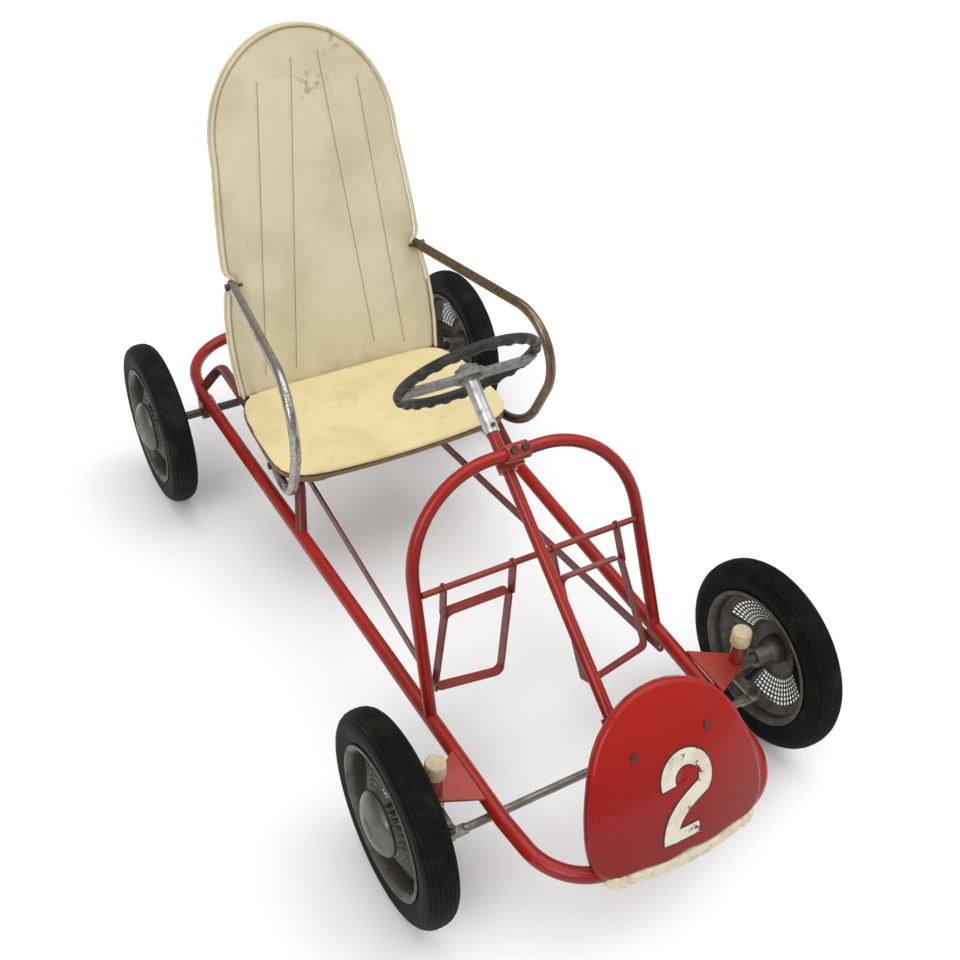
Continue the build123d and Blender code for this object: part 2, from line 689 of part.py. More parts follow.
# ---------------------------------------------------------------- column foot bracket
# A bent strip from the front bow, over the steering arm, to a bearing ring for the column.
BRACKET_HALF = 12.0
BRACKET_THICK = 3.0
RING_Y = -32.0


def foot_bracket():
    bow_top = frame_z(BOW_FRONT_Y) + FRAME_TUBE_R
    ring_at = Vector(*column_point(RING_Y))
    plane = Plane(origin=ring_at, x_dir=Vector(1, 0, 0), z_dir=Vector(*column_axis))
    ring = plane * (Cylinder(COLUMN_R + 4, 16) - Cylinder(COLUMN_R + FIT, 40))
    top = ring_at + Vector(0, -COLUMN_SIN, COLUMN_COS) * (COLUMN_R + 3)
    bend_y, bend_z = -122.0, 206.0
    line = Polyline(
        (BOW_FRONT_Y + 2, bow_top - 2), (BOW_FRONT_Y + 2, bow_top + 8), (bend_y, bend_z),
        (top.Y - 8, top.Z + 14), (top.Y, top.Z),
    )
    strip = extrude(
        Plane.YZ * trace(line, BRACKET_THICK), amount=BRACKET_HALF, both=True
    )
    return strip + ring


foot_strip = foot_bracket() - front_core
write("column_foot_bracket", max(foot_strip.solids(), key=lambda piece: piece.volume))

# ---------------------------------------------------------------- cowl and bumper
# A pressed sheet shield, domed forwards, with its edge flanged back all round. It is
# screwed to the column bracket and stands on the front bow above a moulded bumper.
COWL_SHEET = 1.6
COWL_TOP = (-89.0, 297.0)
COWL_FOOT = (-190.0, 131.0)
COWL_DOME = 470.0             # radius of the dome
COWL_BULGE = 10.0             # height of the dome over the line from foot to top
COWL_FLANGE = 9.0
COWL_FOOT_HALF = 101.0
cowl_height = math.hypot(COWL_TOP[0] - COWL_FOOT[0], COWL_TOP[1] - COWL_FOOT[1])
cowl_up = Vector(0, (COWL_TOP[0] - COWL_FOOT[0]) / cowl_height,
                 (COWL_TOP[1] - COWL_FOOT[1]) / cowl_height)
cowl_out = Vector(0, -cowl_up.Z, cowl_up.Y)
cowl_plane = Plane(origin=Vector(0, *COWL_FOOT), x_dir=Vector(1, 0, 0), z_dir=cowl_out)
dome_centre = (
    Vector(0, *COWL_FOOT) + cowl_up * (cowl_height / 2) + cowl_out * (COWL_BULGE - COWL_DOME)
)


def cowl_outline(inset):
    """The shield seen square on: broad near its foot, closing in a wide arch at the top."""
    h = cowl_height
    right = [(110 - inset, 0.035 * h), (115 - inset, 0.10 * h), (116 - inset, 0.22 * h),
             (107 - inset, 0.50 * h), (93 - inset, 0.70 * h), (60 - inset, 0.905 * h)]
    left = [(-x, y) for x, y in reversed(right)]
    foot = Line((-COWL_FOOT_HALF, inset), (COWL_FOOT_HALF, inset))
    arch = Spline(
        (COWL_FOOT_HALF, inset), *right, (0, h - inset), *left, (-COWL_FOOT_HALF, inset)
    )
    return make_face(foot + arch)


def ball(radius):
    return Pos(*dome_centre) * Sphere(radius)


def cowl():
    block = extrude(cowl_plane * cowl_outline(0), amount=60, both=True)
    core = extrude(cowl_plane * cowl_outline(COWL_SHEET), amount=60, both=True)
    sheet = (block & ball(COWL_DOME)) - ball(COWL_DOME - COWL_SHEET)
    flange = ((block - core) & ball(COWL_DOME)) - ball(COWL_DOME - COWL_FLANGE)
    return sheet + flange


COWL_SCREW_X = 47.7
COWL_SCREW_UP = 0.665


def dome_point(x, fraction, lift=0.0):
    """A point on the dome at a share of the shield's height, and its outward normal."""
    flat = cowl_up * (cowl_height * (fraction - 0.5)) + Vector(x, 0, 0)
    rise = math.sqrt(COWL_DOME ** 2 - flat.length ** 2)
    normal = (flat + cowl_out * rise).normalized()
    return dome_centre + normal * (COWL_DOME + lift), normal


def cowl_screw(x):
    """Round headed screw and its shank."""
    spot, normal = dome_point(x, COWL_SCREW_UP)
    plane = Plane(origin=spot, z_dir=normal)
    head = extrude(plane * Circle(4.2), amount=1.6)
    shank = extrude(plane * Circle(2.0), amount=-9.0)
    return head + shank


cowl_screws = [cowl_screw(-COWL_SCREW_X), cowl_screw(COWL_SCREW_X)]
cowl_solid = cowl()
for screw in cowl_screws:
    cowl_solid -= screw
write("cowl", cowl_solid - front_core - foot_strip)
write("cowl_screws", Compound(cowl_screws))

# A cross strip behind the cowl takes the two screws and rests on the foot bracket.
bar_left, bar_normal = dome_point(0, COWL_SCREW_UP, -COWL_SHEET - 0.2)
bar_plane = Plane(origin=bar_left, x_dir=Vector(1, 0, 0), z_dir=bar_normal)
cross_strip = extrude(bar_plane * SlotOverall(124, 20), amount=-30) & (
    ball(COWL_DOME - COWL_SHEET) - ball(COWL_DOME - COWL_SHEET - 3.0)
)
for screw in cowl_screws:
    cross_strip -= screw
cross_strip -= foot_strip
write("cowl_cross_strip", max(cross_strip.solids(), key=lambda piece: piece.volume))

BUMPER_HALF = 101.0
BUMPER_LOW = 107.0
BUMPER_TOP = 128.0
BUMPER_FRONT_Y = -196.0
BUMPER_BOW = 370.0            # radius of its front face seen from above
BUMPER_REAR_Y = -171.0


def bumper():
    """A moulded strip with a curved front and grooved ends, shaped to sit on the bow."""
    round_face = Pos(0, BUMPER_FRONT_Y + BUMPER_BOW) * Circle(BUMPER_BOW)
    depth = BUMPER_REAR_Y - BUMPER_FRONT_Y
    strip = Pos(0, BUMPER_FRONT_Y + depth / 2) * Rectangle(2 * BUMPER_HALF, depth)
    tall = BUMPER_TOP - BUMPER_LOW
    body = Pos(0, 0, BUMPER_LOW) * extrude(round_face & strip, amount=tall)
    reach = math.sqrt(BUMPER_BOW ** 2 - BUMPER_HALF ** 2)
    end_y = BUMPER_FRONT_Y + BUMPER_BOW - reach
    ends = [e for e in body.edges().filter_by(Axis.Z) if e.center().Y < end_y + 1]
    body = fillet(ends, 6.0)
    for x in (-BUMPER_HALF + 13, -BUMPER_HALF + 24, BUMPER_HALF - 24, BUMPER_HALF - 13):
        y = BUMPER_FRONT_Y + BUMPER_BOW - math.sqrt(BUMPER_BOW ** 2 - x ** 2)
        body -= Pos(x, y - 0.8, BUMPER_LOW) * Cylinder(2.2, 80)
    return body - front_core - cowl_solid


bumper_strip = bumper()
write("bumper", max(bumper_strip.solids(), key=lambda piece: piece.volume))

# ---------------------------------------------------------------- seat
# A plywood board on the seat tubes, and over it a thin vinyl covered pad with full sides.
def seat_slab(inset, low, thick):
    """Broad at the front with round corners, drawing in a little towards the back."""
    half = [(120, 485 + inset), (158, 494 + inset), (179 - inset, 512 + inset),
            (187 - inset, 545), (186 - inset, 610), (182 - inset, 664), (172 - inset, 695),
            (150, 714 - inset)]
    right = Spline(*half)
    left = Spline(*[(-x, y) for x, y in reversed(half)])
    rear = Line(right @ 1, left @ 0)
    front = ThreePointArc(left @ 1, (0, 480 + inset), half[0])
    outline = Face(Wire([right.edge(), rear.edge(), left.edge(), front.edge()]))
    slab = Pos(0, 0, low) * extrude(outline, amount=thick)
    return fillet(slab.edges().filter_by(Axis.Z), 8.0)


board_low = SEAT_TOP_Z - SEAT_PAD - SEAT_BOARD
seat_board = seat_slab(5.0, board_low, SEAT_BOARD)
seat_pad = seat_slab(0.0, board_low + SEAT_BOARD, SEAT_PAD)
write("seat_board", seat_board)
seat_pad = fillet(seat_pad.edges().group_by(Axis.Z)[-1], 3.0)

# ---------------------------------------------------------------- backrest
# An arched tube welded on the seat tubes, inside a padded vinyl sleeve. A notch on each
# side bares the tube where the armrest is bolted on.
BACK_TUBE_R = 5.5
BACK_PAD = 17.0
ARCH_START = 335.0
ARCH_HALF = 139.0
ARCH_RISE = 159.0
NOTCH = (150.0, 168.0)
lean = math.radians(BACK_LEAN)
back_plane = Plane(origin=Vector(0, *BACK_FOOT), x_dir=Vector(1, 0, 0),
                   z_dir=Vector(0, -math.cos(lean), math.sin(lean)))


def back_point(x, up, out=0.0):
    return tuple(back_plane.from_local_coords(Vector(x, up, out)))


tube_side = [(157, -24), (134, 160), (128, 380), (70, 476)]
tube_route = [back_point(x, up) for x, up in tube_side]
tube_route += [back_point(-x, up) for x, up in reversed(tube_side)]
back_frame = bent_rod(tube_route, [200, 110, 90, 90, 110, 200], BACK_TUBE_R)
back_frame = back_frame - seat_tube - mirrored(seat_tube)
back_frame = max(back_frame.solids(), key=lambda piece: piece.volume)


def back_outline():
    """Straight lower sides, a notch at each armrest, leaning upper sides and an arch."""
    right = [(165, -8), (166, 60), (163, 120), (155, NOTCH[0] - 6), (133, NOTCH[0]),
             (133, NOTCH[1]), (155, NOTCH[1] + 6), (ARCH_HALF, ARCH_START)]
    left = [(-x, y) for x, y in reversed(right)]
    sides = Polyline(*right)
    arch = EllipticalCenterArc((0, ARCH_START), ARCH_HALF, ARCH_RISE, 0, arc_size=180)
    return make_face(sides + arch + Polyline(*left) + Line(left[-1], right[0]))


back_pad = extrude(back_plane * back_outline(), amount=BACK_PAD / 2, both=True)
back_pad = back_pad - back_frame - seat_tube - mirrored(seat_tube) - seat_pad - seat_board
back_pad = max(back_pad.solids(), key=lambda piece: piece.volume)
write("backrest_pad", back_pad)
write("seat_pad", seat_pad - back_frame)

# ---------------------------------------------------------------- armrests
# A plated tube on each side, from a bolt beside the backrest tube, forwards over the seat,
# round in front of it and back under its edge to a bolt beside the seat tube.
ARM_TUBE_R = 7.0
ARM_LOW_Z = board_low - ARM_TUBE_R - 1.0
ARM_END_Y = 573.0
arm_front = [(196.4, 382.0, 407.0), (184.5, 476.5, ARM_LOW_Z - 5)]
arm_end = (157 + SEAT_TUBE_R + ARM_TUBE_R + GAP, ARM_END_Y, ARM_LOW_Z)
arm_rear = (147.0, 758.5, 380.6)
ARM_BENDS = [75, 90]
armrest = bent_rod([arm_rear, *arm_front, arm_end], ARM_BENDS, ARM_TUBE_R,
                   ARM_TUBE_R - HOOP_WALL)


def arm_bolt(spot, inner_x):
    """A bolt from outside the armrest, through it and into the tube beside it."""
    outer = spot[0] + ARM_TUBE_R
    head = hexagon((outer - 1.0, spot[1], spot[2]), (1, 0, 0), 10, 5)
    return head + rod((outer, spot[1], spot[2]), (inner_x, spot[1], spot[2]), 2.5)


upper_spot = (arm_rear[0] + 1.0, arm_rear[1] - 9.0, arm_rear[2] + 0.6)
lower_spot = (arm_end[0], ARM_END_Y - 11.0, ARM_LOW_Z - 0.4)
bolt_upper = arm_bolt(upper_spot, 134.0)
bolt_lower = arm_bolt(lower_spot, 157.0)
armrest = armrest - bolt_upper - bolt_lower - back_frame - back_pad
write("armrest_left", armrest)
write("armrest_right", mirrored(armrest))
bolts = [bolt_upper, bolt_lower, mirrored(bolt_upper), mirrored(bolt_lower)]
write("armrest_bolts", Compound(bolts))
write("backrest_frame", back_frame - bolts)
write("seat_tube_left", seat_tube - bolt_lower)
write("seat_tube_right", mirrored(seat_tube - bolt_lower))
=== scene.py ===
"""Looks of a child's pedal go kart: tubular frame, pressed wheels, padded seat and cowl."""

import math

import bmesh
import bpy
import numpy as np
from mathutils import Matrix, Vector


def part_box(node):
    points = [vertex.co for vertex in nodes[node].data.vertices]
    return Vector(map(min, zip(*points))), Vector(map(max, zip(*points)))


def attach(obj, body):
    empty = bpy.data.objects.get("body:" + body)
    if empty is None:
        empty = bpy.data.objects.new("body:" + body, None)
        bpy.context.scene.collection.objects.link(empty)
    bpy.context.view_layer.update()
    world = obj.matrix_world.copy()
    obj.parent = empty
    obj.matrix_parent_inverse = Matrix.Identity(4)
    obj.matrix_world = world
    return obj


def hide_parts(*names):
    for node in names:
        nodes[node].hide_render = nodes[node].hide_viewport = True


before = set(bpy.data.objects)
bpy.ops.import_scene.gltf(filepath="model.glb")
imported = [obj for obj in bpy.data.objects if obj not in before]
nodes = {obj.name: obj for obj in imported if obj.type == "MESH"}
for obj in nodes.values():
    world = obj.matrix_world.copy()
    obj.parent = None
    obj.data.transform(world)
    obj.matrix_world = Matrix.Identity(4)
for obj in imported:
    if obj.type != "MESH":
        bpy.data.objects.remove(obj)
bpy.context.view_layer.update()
AXLE_Y = -0.4002      # the front axle, in the kart's own frame
WHEELBASE = 0.827
WHEEL_RADIUS = 0.127
HALF_TRACK = 0.264    # from the middle to the middle of a tyre


# ---- Frame, hoop and column -------------------------------------------------------------
# Round steel tube, bent and coped, then welded and sprayed with one coat of red enamel.
# Painted shade darkens the enamel where it faces down, and it is chipped where feet rub it.
class Wire:
    """A number that a socket carries. Its operators add Math nodes to the finish."""

    def __init__(self, finish, socket):
        self.finish = finish
        self.socket = socket

    def math(self, kind, first, second):
        return self.finish.node("ShaderNodeMath", {"operation": kind}, {0: first, 1: second})

    def __add__(self, other):
        return self.math("ADD", self, other)

    __radd__ = __add__

    def __mul__(self, other):
        return self.math("MULTIPLY", self, other)

    __rmul__ = __mul__

    def __sub__(self, other):
        return self.math("SUBTRACT", self, other)

    def __rsub__(self, other):
        return self.math("SUBTRACT", other, self)

    def __abs__(self):
        return self.math("ABSOLUTE", self, 0.0)

    def between(self, low, high):
        """0 below low, 1 above high and smooth in between; high under low turns it round."""
        flip = low > high
        first, last = (high, low) if flip else (low, high)
        ends = {3: 1.0, 4: 0.0} if flip else {3: 0.0, 4: 1.0}
        return self.finish.node("ShaderNodeMapRange", {"interpolation_type": "SMOOTHSTEP"},
                                {0: self, 1: first, 2: last, **ends})


class Finish:
    """One procedural material on the Principled shader."""

    def __init__(self, name, **fixed):
        self.material = bpy.data.materials.new(name)
        self.material.use_nodes = True
        self.tree = self.material.node_tree
        self.shader = self.tree.nodes["Principled BSDF"]
        for socket, value in fixed.items():
            self.set(socket.replace("_", " "), value)
        self.place = self.node("ShaderNodeTexCoord", out=3)

    def node(self, kind, settings={}, sockets={}, out=0):
        """Adds a node: its settings first, then the values or links of its sockets."""
        made = self.tree.nodes.new(kind)
        for key, value in settings.items():
            setattr(made, key, value)
        for key, value in sockets.items():
            self.feed(made.inputs[key], value)
        return Wire(self, made.outputs[out])

    def feed(self, socket, value):
        """Links a wire to a socket, or sets the socket's own value."""
        if isinstance(value, Wire):
            self.tree.links.new(value.socket, socket)
        elif socket.type == "RGBA" and len(value) == 3:
            socket.default_value = (*value, 1.0)
        else:
            socket.default_value = value

    def set(self, name, value):
        """Feeds one of the shader's sockets."""
        self.feed(self.shader.inputs[name], value)

    def noise(self, scale, detail=4.0, rough=0.6, stretch=None):
        """Cloudy noise, scale in cells per metre; stretch squeezes it along an axis."""
        spot = self.place
        if stretch:
            spot = self.node("ShaderNodeMapping", {}, {"Vector": spot, "Scale": stretch})
        return self.node("ShaderNodeTexNoise", {},
                         {"Vector": spot, "Scale": scale, "Detail": detail, "Roughness": rough})

    def blend(self, first, second, share):
        """Two colours mixed by a share of the second."""
        return self.node("ShaderNodeMix", {"data_type": "RGBA"},
                         {0: share, 6: first, 7: second}, out=2)

    def dot(self, axis, where=None):
        """Distance of the shaded point along an axis."""
        return self.node("ShaderNodeVectorMath", {"operation": "DOT_PRODUCT"},
                         {0: where or self.place, 1: axis}, out=1)

    def facing(self, axis):
        """How far the surface faces along an axis, from -1 to 1."""
        normal = self.node("ShaderNodeTexCoord", out=1)
        return self.dot(axis, normal)

    def bumps(self, height, strength=0.5, depth=0.001):
        """Puts a height map, in metres of depth, on the shader's normal."""
        self.set("Normal", self.node("ShaderNodeBump", {},
                                     {"Strength": strength, "Distance": depth, "Height": height}))


def enamel(name, bright, dark, rust, gloss, chips, coat=0.15):
    """Old enamel: bright on top and darker where it faces down, as painted shade; chipped to brown
    steel.
    """
    made = Finish(name, Coat_Roughness=0.1, Specular_IOR_Level=0.28)
    cloud = made.noise(9.0, 5.0)
    # Painted shade: the colour darkens where the surface faces down.
    shade = made.facing((0, 0.15, 1)).between(0.75, -0.85)
    tone = made.blend(bright, dark, shade * 0.8 + cloud.between(0.42, 0.72) * 0.35)
    streak = made.noise(60.0, 6.0, 0.7)
    tone = made.blend(tone, [c * 0.62 for c in dark], streak.between(0.56, 0.78) * 0.55)
    spots = made.noise(170.0, 3.0, 0.55).between(0.70 - chips, 0.74 - chips)
    patch = made.noise(14.0, 4.0).between(0.46, 0.62)
    bare = spots * patch
    made.set("Base Color", made.blend(tone, rust, bare * 0.85))
    made.set("Roughness", gloss + streak.between(0.45, 0.7) * 0.16 + bare * 0.3)
    made.set("Coat Weight", coat - bare * coat)
    made.bumps(made.noise(420.0, 2.0) * 0.35 + streak * 0.3 - bare * 0.6, 0.25, 0.0006)
    return made.material


def wear(names, material):
    """Gives CAD nodes one finish."""
    for name in names:
        nodes[name].data.materials.clear()
        nodes[name].data.materials.append(material)


RED = (0.33, 0.011, 0.006)
RED_DARK = (0.085, 0.005, 0.004)
RUST = (0.06, 0.030, 0.018)
frame_red = enamel("red_tube_enamel", RED, RED_DARK, RUST, 0.27, 0.02)
wear(["frame_front_bow", "frame_rail_left", "frame_rail_right", "frame_rear_bow", "dash_hoop",
      "column_tube", "column_foot_bracket", "cowl_cross_strip"], frame_red)
# Painted shade: a darker copy of the red enamel for the parts that sit low, under the seat and the
# frame.
shaded_red = enamel("shaded_dark_red_enamel", (0.155, 0.020, 0.014), (0.045, 0.010, 0.008), RUST,
                    0.38, 0.05, 0.2)
wear(["seat_tube_left", "seat_tube_right", "axle_bracket_left", "axle_bracket_right",
      "connecting_rod_left", "connecting_rod_right", "tie_rod_fork"], shaded_red)
strip_red = enamel("rubbed_strip_enamel", (0.27, 0.038, 0.026), (0.085, 0.012, 0.010), RUST,
                   0.42, 0.06, 0.15)
wear(["pedal_frame_left", "pedal_frame_right", "pedal_hangers_left", "pedal_hangers_right",
      "pedal_pivot_rod"], strip_red)
plate_red = enamel("plate_enamel", (0.38, 0.042, 0.024), (0.12, 0.012, 0.010), RUST,
                   0.34, 0.05, 0.3)
wear(["kingpin_plate_left", "kingpin_plate_right", "column_clamp"], plate_red)


# ---- Bare steel -------------------------------------------------------------------------
# Forged and turned steel left unpainted: knuckles, tie bar, rear axle, screws and bolts.
# Handling and damp have turned it grey-brown with soft mottling.
def old_steel(name, colour, stain, gloss, share=0.6):
    """Dull metal mottled with a stain."""
    made = Finish(name)
    cloud = made.noise(38.0, 6.0, 0.65)
    fine = made.noise(400.0, 3.0)
    mask = cloud.between(0.42, 0.66)
    made.set("Base Color", made.blend(colour, stain, mask * share + fine * 0.1))
    made.set("Metallic", 0.85 - mask * 0.45)
    made.set("Roughness", gloss + mask * 0.22)
    made.bumps(fine * 0.6 + cloud * 0.4, 0.3, 0.0005)
    return made.material


grey_steel = old_steel("grey_steel", (0.26, 0.25, 0.215), (0.10, 0.085, 0.06), 0.42)
wear(["knuckle_left", "knuckle_right", "tie_rod", "steering_arm"], grey_steel)
dark_steel = old_steel("dark_steel", (0.11, 0.10, 0.09), (0.045, 0.03, 0.022), 0.45)
wear(["rear_crank_axle", "backrest_frame"], dark_steel)
brown_bolt = old_steel("brown_bolt", (0.12, 0.085, 0.06), (0.05, 0.025, 0.015), 0.5, 0.9)
wear(["tie_rod_bolts", "rod_bolt_left", "rod_bolt_right", "clamp_bolts", "cowl_screws",
      "sleeve_screw", "armrest_bolts"], brown_bolt)


# ---- Tyres ------------------------------------------------------------------------------
# Moulded solid rubber with fine ribs round the tread and smooth, slightly dished sides,
# stretched over the rim of each wheel.
def surface(name, grid, material, body, close_u=False, close_v=False, cap=False):
    """A mesh on a grid of points, u down the rows and v along them, closed where asked."""
    grid = np.asarray(grid, float)
    rows, cols = grid.shape[:2]
    down = np.arange(rows if close_u else rows - 1)
    along = np.arange(cols if close_v else cols - 1)
    r, c = [a.ravel() for a in np.meshgrid(down, along, indexing="ij")]
    r2, c2 = (r + 1) % rows, (c + 1) % cols
    faces = np.stack([r * cols + c, r * cols + c2, r2 * cols + c2, r2 * cols + c], 1).tolist()
    points = grid.reshape(-1, 3)
    if cap:
        faces += [list(range(cols)), list(range((rows - 1) * cols, rows * cols))]
    return solid_from(name, points, faces, material, body)


def solid_from(name, points, faces, material, body, marked=None, other=None):
    """A smooth-shaded mesh object from arrays, its normals turned outwards. Marked faces
    take the other material."""
    mesh = bpy.data.meshes.new(name)
    mesh.from_pydata(points.tolist(), [], faces)
    if other:
        mesh.polygons.foreach_set("material_index", marked.astype(np.int32))
    tidy = bmesh.new()
    tidy.from_mesh(mesh)
    bmesh.ops.remove_doubles(tidy, verts=tidy.verts, dist=1e-6)
    bmesh.ops.recalc_face_normals(tidy, faces=tidy.faces)
    tidy.to_mesh(mesh)
    tidy.free()
    mesh.polygons.foreach_set("use_smooth", [True] * len(mesh.polygons))
    mesh.materials.append(material)
    if other:
        mesh.materials.append(other)
    made = bpy.data.objects.new(name, mesh)
    bpy.context.scene.collection.objects.link(made)
    if body:
        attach(made, body)
    return made


WHEELS = {
    "front_left": ((HALF_TRACK, AXLE_Y, WHEEL_RADIUS), 1, "front_wheel_left"),
    "front_right": ((-HALF_TRACK, AXLE_Y, WHEEL_RADIUS), -1, "front_wheel_right"),
    "rear_left": ((HALF_TRACK, AXLE_Y + WHEELBASE, WHEEL_RADIUS), 1, "rear_axle"),
    "rear_right": ((-HALF_TRACK, AXLE_Y + WHEELBASE, WHEEL_RADIUS), -1, "rear_axle"),
}


def turned(profile, centre, side, steps):
    """A profile of (radius, outward distance) turned about the wheel's axle, along X."""
    profile = np.asarray(profile, float)
    angle = np.linspace(0, 2 * np.pi, steps, endpoint=False)[:, None]
    radius = profile[None, :, 0] + 0 * angle
    out = side * (profile[None, :, 1] + 0 * angle)
    return np.stack([centre[0] + out, centre[1] + radius * np.cos(angle),
                     centre[2] + radius * np.sin(angle)], 2)


def tyre_section():
    """Round the tyre's section by angle: a superellipse 43 mm tall and 42 mm wide, with
    fourteen grooves of 1.4 mm over the tread and a bead step low on each side."""
    a = np.linspace(-0.5 * np.pi, 1.5 * np.pi, 321)[:-1]
    power = 0.82
    across = 0.0208 * np.sign(np.cos(a)) * np.abs(np.cos(a)) ** power
    up = 0.0213 * np.sign(np.sin(a)) * np.abs(np.sin(a)) ** power
    tread = np.clip((np.sin(a) - 0.30) / 0.1, 0, 1)
    groove = 0.5 - 0.5 * np.cos(np.clip(across / 0.0175, -1, 1) * np.pi * 7.0)
    cut = 0.0014 * tread * groove ** 1.5 * (np.abs(across) < 0.0175)
    dish = 0.0012 * np.exp(-(((up + 0.006) / 0.006) ** 2))
    across = across - np.sign(across) * dish
    return np.stack([0.1055 + up - cut, across], 1)


def rubber(name, colour, dust, share):
    """Black rubber with dust in the grooves and scuffs along the tread."""
    made = Finish(name, Specular_IOR_Level=0.09)
    cloud = made.noise(26.0, 6.0, 0.65)
    fine = made.noise(500.0, 2.0)
    made.set("Base Color", made.blend(colour, dust, cloud.between(0.45, 0.75) * share))
    made.set("Roughness", 0.52 + cloud * 0.25)
    made.bumps(fine, 0.2, 0.0004)
    return made.material


front_rubber = rubber("black_ribbed_rubber", (0.004, 0.004, 0.0036), (0.030, 0.028, 0.022), 0.5)
rear_rubber = rubber("dusty_rubber", (0.007, 0.007, 0.007), (0.035, 0.035, 0.032), 0.6)
for place, (centre, side, body) in WHEELS.items():
    grid = turned(tyre_section(), centre, side, 200)
    tyre = surface(f"tyre_{place}", grid, front_rubber if "front" in place else rear_rubber,
                   body, close_u=True, close_v=True)
    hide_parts(f"wheel_{place}_tyre")


# ---- Wheel discs ------------------------------------------------------------------------
# Pressed steel, dished outwards to a domed cover on the hub. Two quarters are pierced as a
# fine square mesh and two are pressed into radial louvres; the rim is rolled at its lips.
def wheel_metal():
    """Tarnished pressed steel, mottled darker in clouds with lighter flecks."""
    made = Finish("tarnished_pressing")
    cloud = made.noise(46.0, 6.0, 0.7)
    fine = made.noise(330.0, 4.0)
    stain = cloud.between(0.40, 0.68)
    tone = made.blend((0.105, 0.097, 0.080), (0.026, 0.022, 0.017), stain * 0.8)
    tone = made.blend(tone, (0.22, 0.20, 0.165), fine.between(0.58, 0.74) * 0.45)
    made.set("Base Color", tone)
    made.set("Metallic", 0.62 - stain * 0.35)
    made.set("Roughness", 0.40 + stain * 0.22)
    made.bumps(fine * 0.5 + cloud, 0.3, 0.0006)
    return made.material


pressed_steel = wheel_metal()
# Painted shade: a near-black finish for the low side of each louvre.
louvre_shade_black = old_steel("louvre_painted_shade", (0.018, 0.016, 0.013), (0.008, 0.007, 0.006), 0.6)
BAND_IN, BAND_OUT = 0.0395, 0.0705    # radii of the pierced and louvred band
COLUMNS = 180                  # the disc in steps of two degrees
ROWS_IN_BAND = 19
ROWS_INSIDE = 6                # rings of points inside the band
MESH_TURN = 8                  # where the first mesh quarter starts, in degrees
LOUVRE_PITCH = 10              # degrees from one louvre to the next
DISC_SHEET = 0.0011


def dish_out(radius):
    """How far the disc stands outwards by radius: a cone with an eased foot and crown."""
    stops = [0.0, 0.013, 0.031, 0.0365, 0.040, 0.0700, 0.0740, 0.0775, 0.0815]
    heights = [0.0215, 0.0215, 0.0190, 0.0180, 0.0140, 0.0010, 0.0002, -0.0010, -0.0070]
    return np.interp(radius, stops, heights)


def disc_mesh(name, centre, side, body):
    """The disc as a sheet: rings of points by radius and angle, louvres raised by a saw
    tooth of the angle, mesh cells left out, and the rim's sheet joined outside it. The low
    side of each louvre takes a near-black finish as painted shade."""
    band = np.linspace(BAND_IN, BAND_OUT, ROWS_IN_BAND)
    radius = np.concatenate([[0.0125, 0.019, 0.025, 0.031, 0.0350, 0.0375], band,
                             [0.0730, 0.0755, 0.0785, 0.0815]])
    angle = np.radians(np.arange(COLUMNS) * 2.0)
    r, a = np.meshgrid(radius, angle, indexing="ij")
    degree = (np.degrees(a) - MESH_TURN) % 180
    louvred = (degree >= 90) & (degree < 180)
    phase = ((degree - 90) % LOUVRE_PITCH) / LOUVRE_PITCH
    ramp = np.where(phase < 0.7, phase / 0.7, (1 - phase) / 0.3)
    fade = np.clip((r - BAND_IN) / 0.003, 0, 1) * np.clip((BAND_OUT - r) / 0.003, 0, 1)
    lift = louvred * fade * (0.0070 * ramp - 0.0035)
    out = side * (dish_out(r) + lift)
    grid = np.stack([centre[0] + out, centre[1] + r * np.cos(a), centre[2] + r * np.sin(a)], 2)
    rows, cols = r.shape
    i, j = np.meshgrid(np.arange(rows - 1), np.arange(cols), indexing="ij")
    cell = (degree[:-1, :] // 2).astype(int)
    in_mesh = ((degree[:-1, :] < 88) & (i >= ROWS_INSIDE)
               & (i < ROWS_INSIDE + ROWS_IN_BAND - 1))
    hole = in_mesh & ((i - ROWS_INSIDE) % 3 != 0) & (cell % 3 != 0)
    keep = ~hole
    i, j = i[keep], j[keep]
    k = (j + 1) % cols
    faces = np.stack([i * cols + j, i * cols + k, (i + 1) * cols + k, (i + 1) * cols + j], 1)
    lip = np.array([(0.0902, 0.0178), (0.0906, 0.0190), (0.0895, 0.0197), (0.0870, 0.0192),
                    (0.0838, 0.0160), (0.0826, 0.0135), (0.0824, 0.0080), (0.0824, 0.0020),
                    (0.0824, -0.0080), (0.0826, -0.0135), (0.0838, -0.0160),
                    (0.0870, -0.0192), (0.0895, -0.0197), (0.0906, -0.0190),
                    (0.0902, -0.0178)])
    rim = turned(lip, centre, side, COLUMNS).transpose(1, 0, 2)
    ri, rj = np.meshgrid(np.arange(len(lip) - 1), np.arange(cols), indexing="ij")
    ri, rj = ri.ravel(), rj.ravel()
    rk = (rj + 1) % cols
    start = rows * cols
    more = start + np.stack([ri * cols + rj, ri * cols + rk, (ri + 1) * cols + rk,
                             (ri + 1) * cols + rj], 1)
    points = np.concatenate([grid.reshape(-1, 3), rim.reshape(-1, 3)])
    # The faces that take the painted shade of the louvres.
    recess = (louvred & (phase > 0.55) & (fade > 0.5))[:-1, :][keep]
    made = solid_from(name, points, faces.tolist() + more.tolist(), pressed_steel, body,
                      np.concatenate([recess, np.zeros(len(more), bool)]), louvre_shade_black)
    wall = made.modifiers.new("sheet", "SOLIDIFY")
    wall.thickness = DISC_SHEET
    wall.offset = 0
    return made


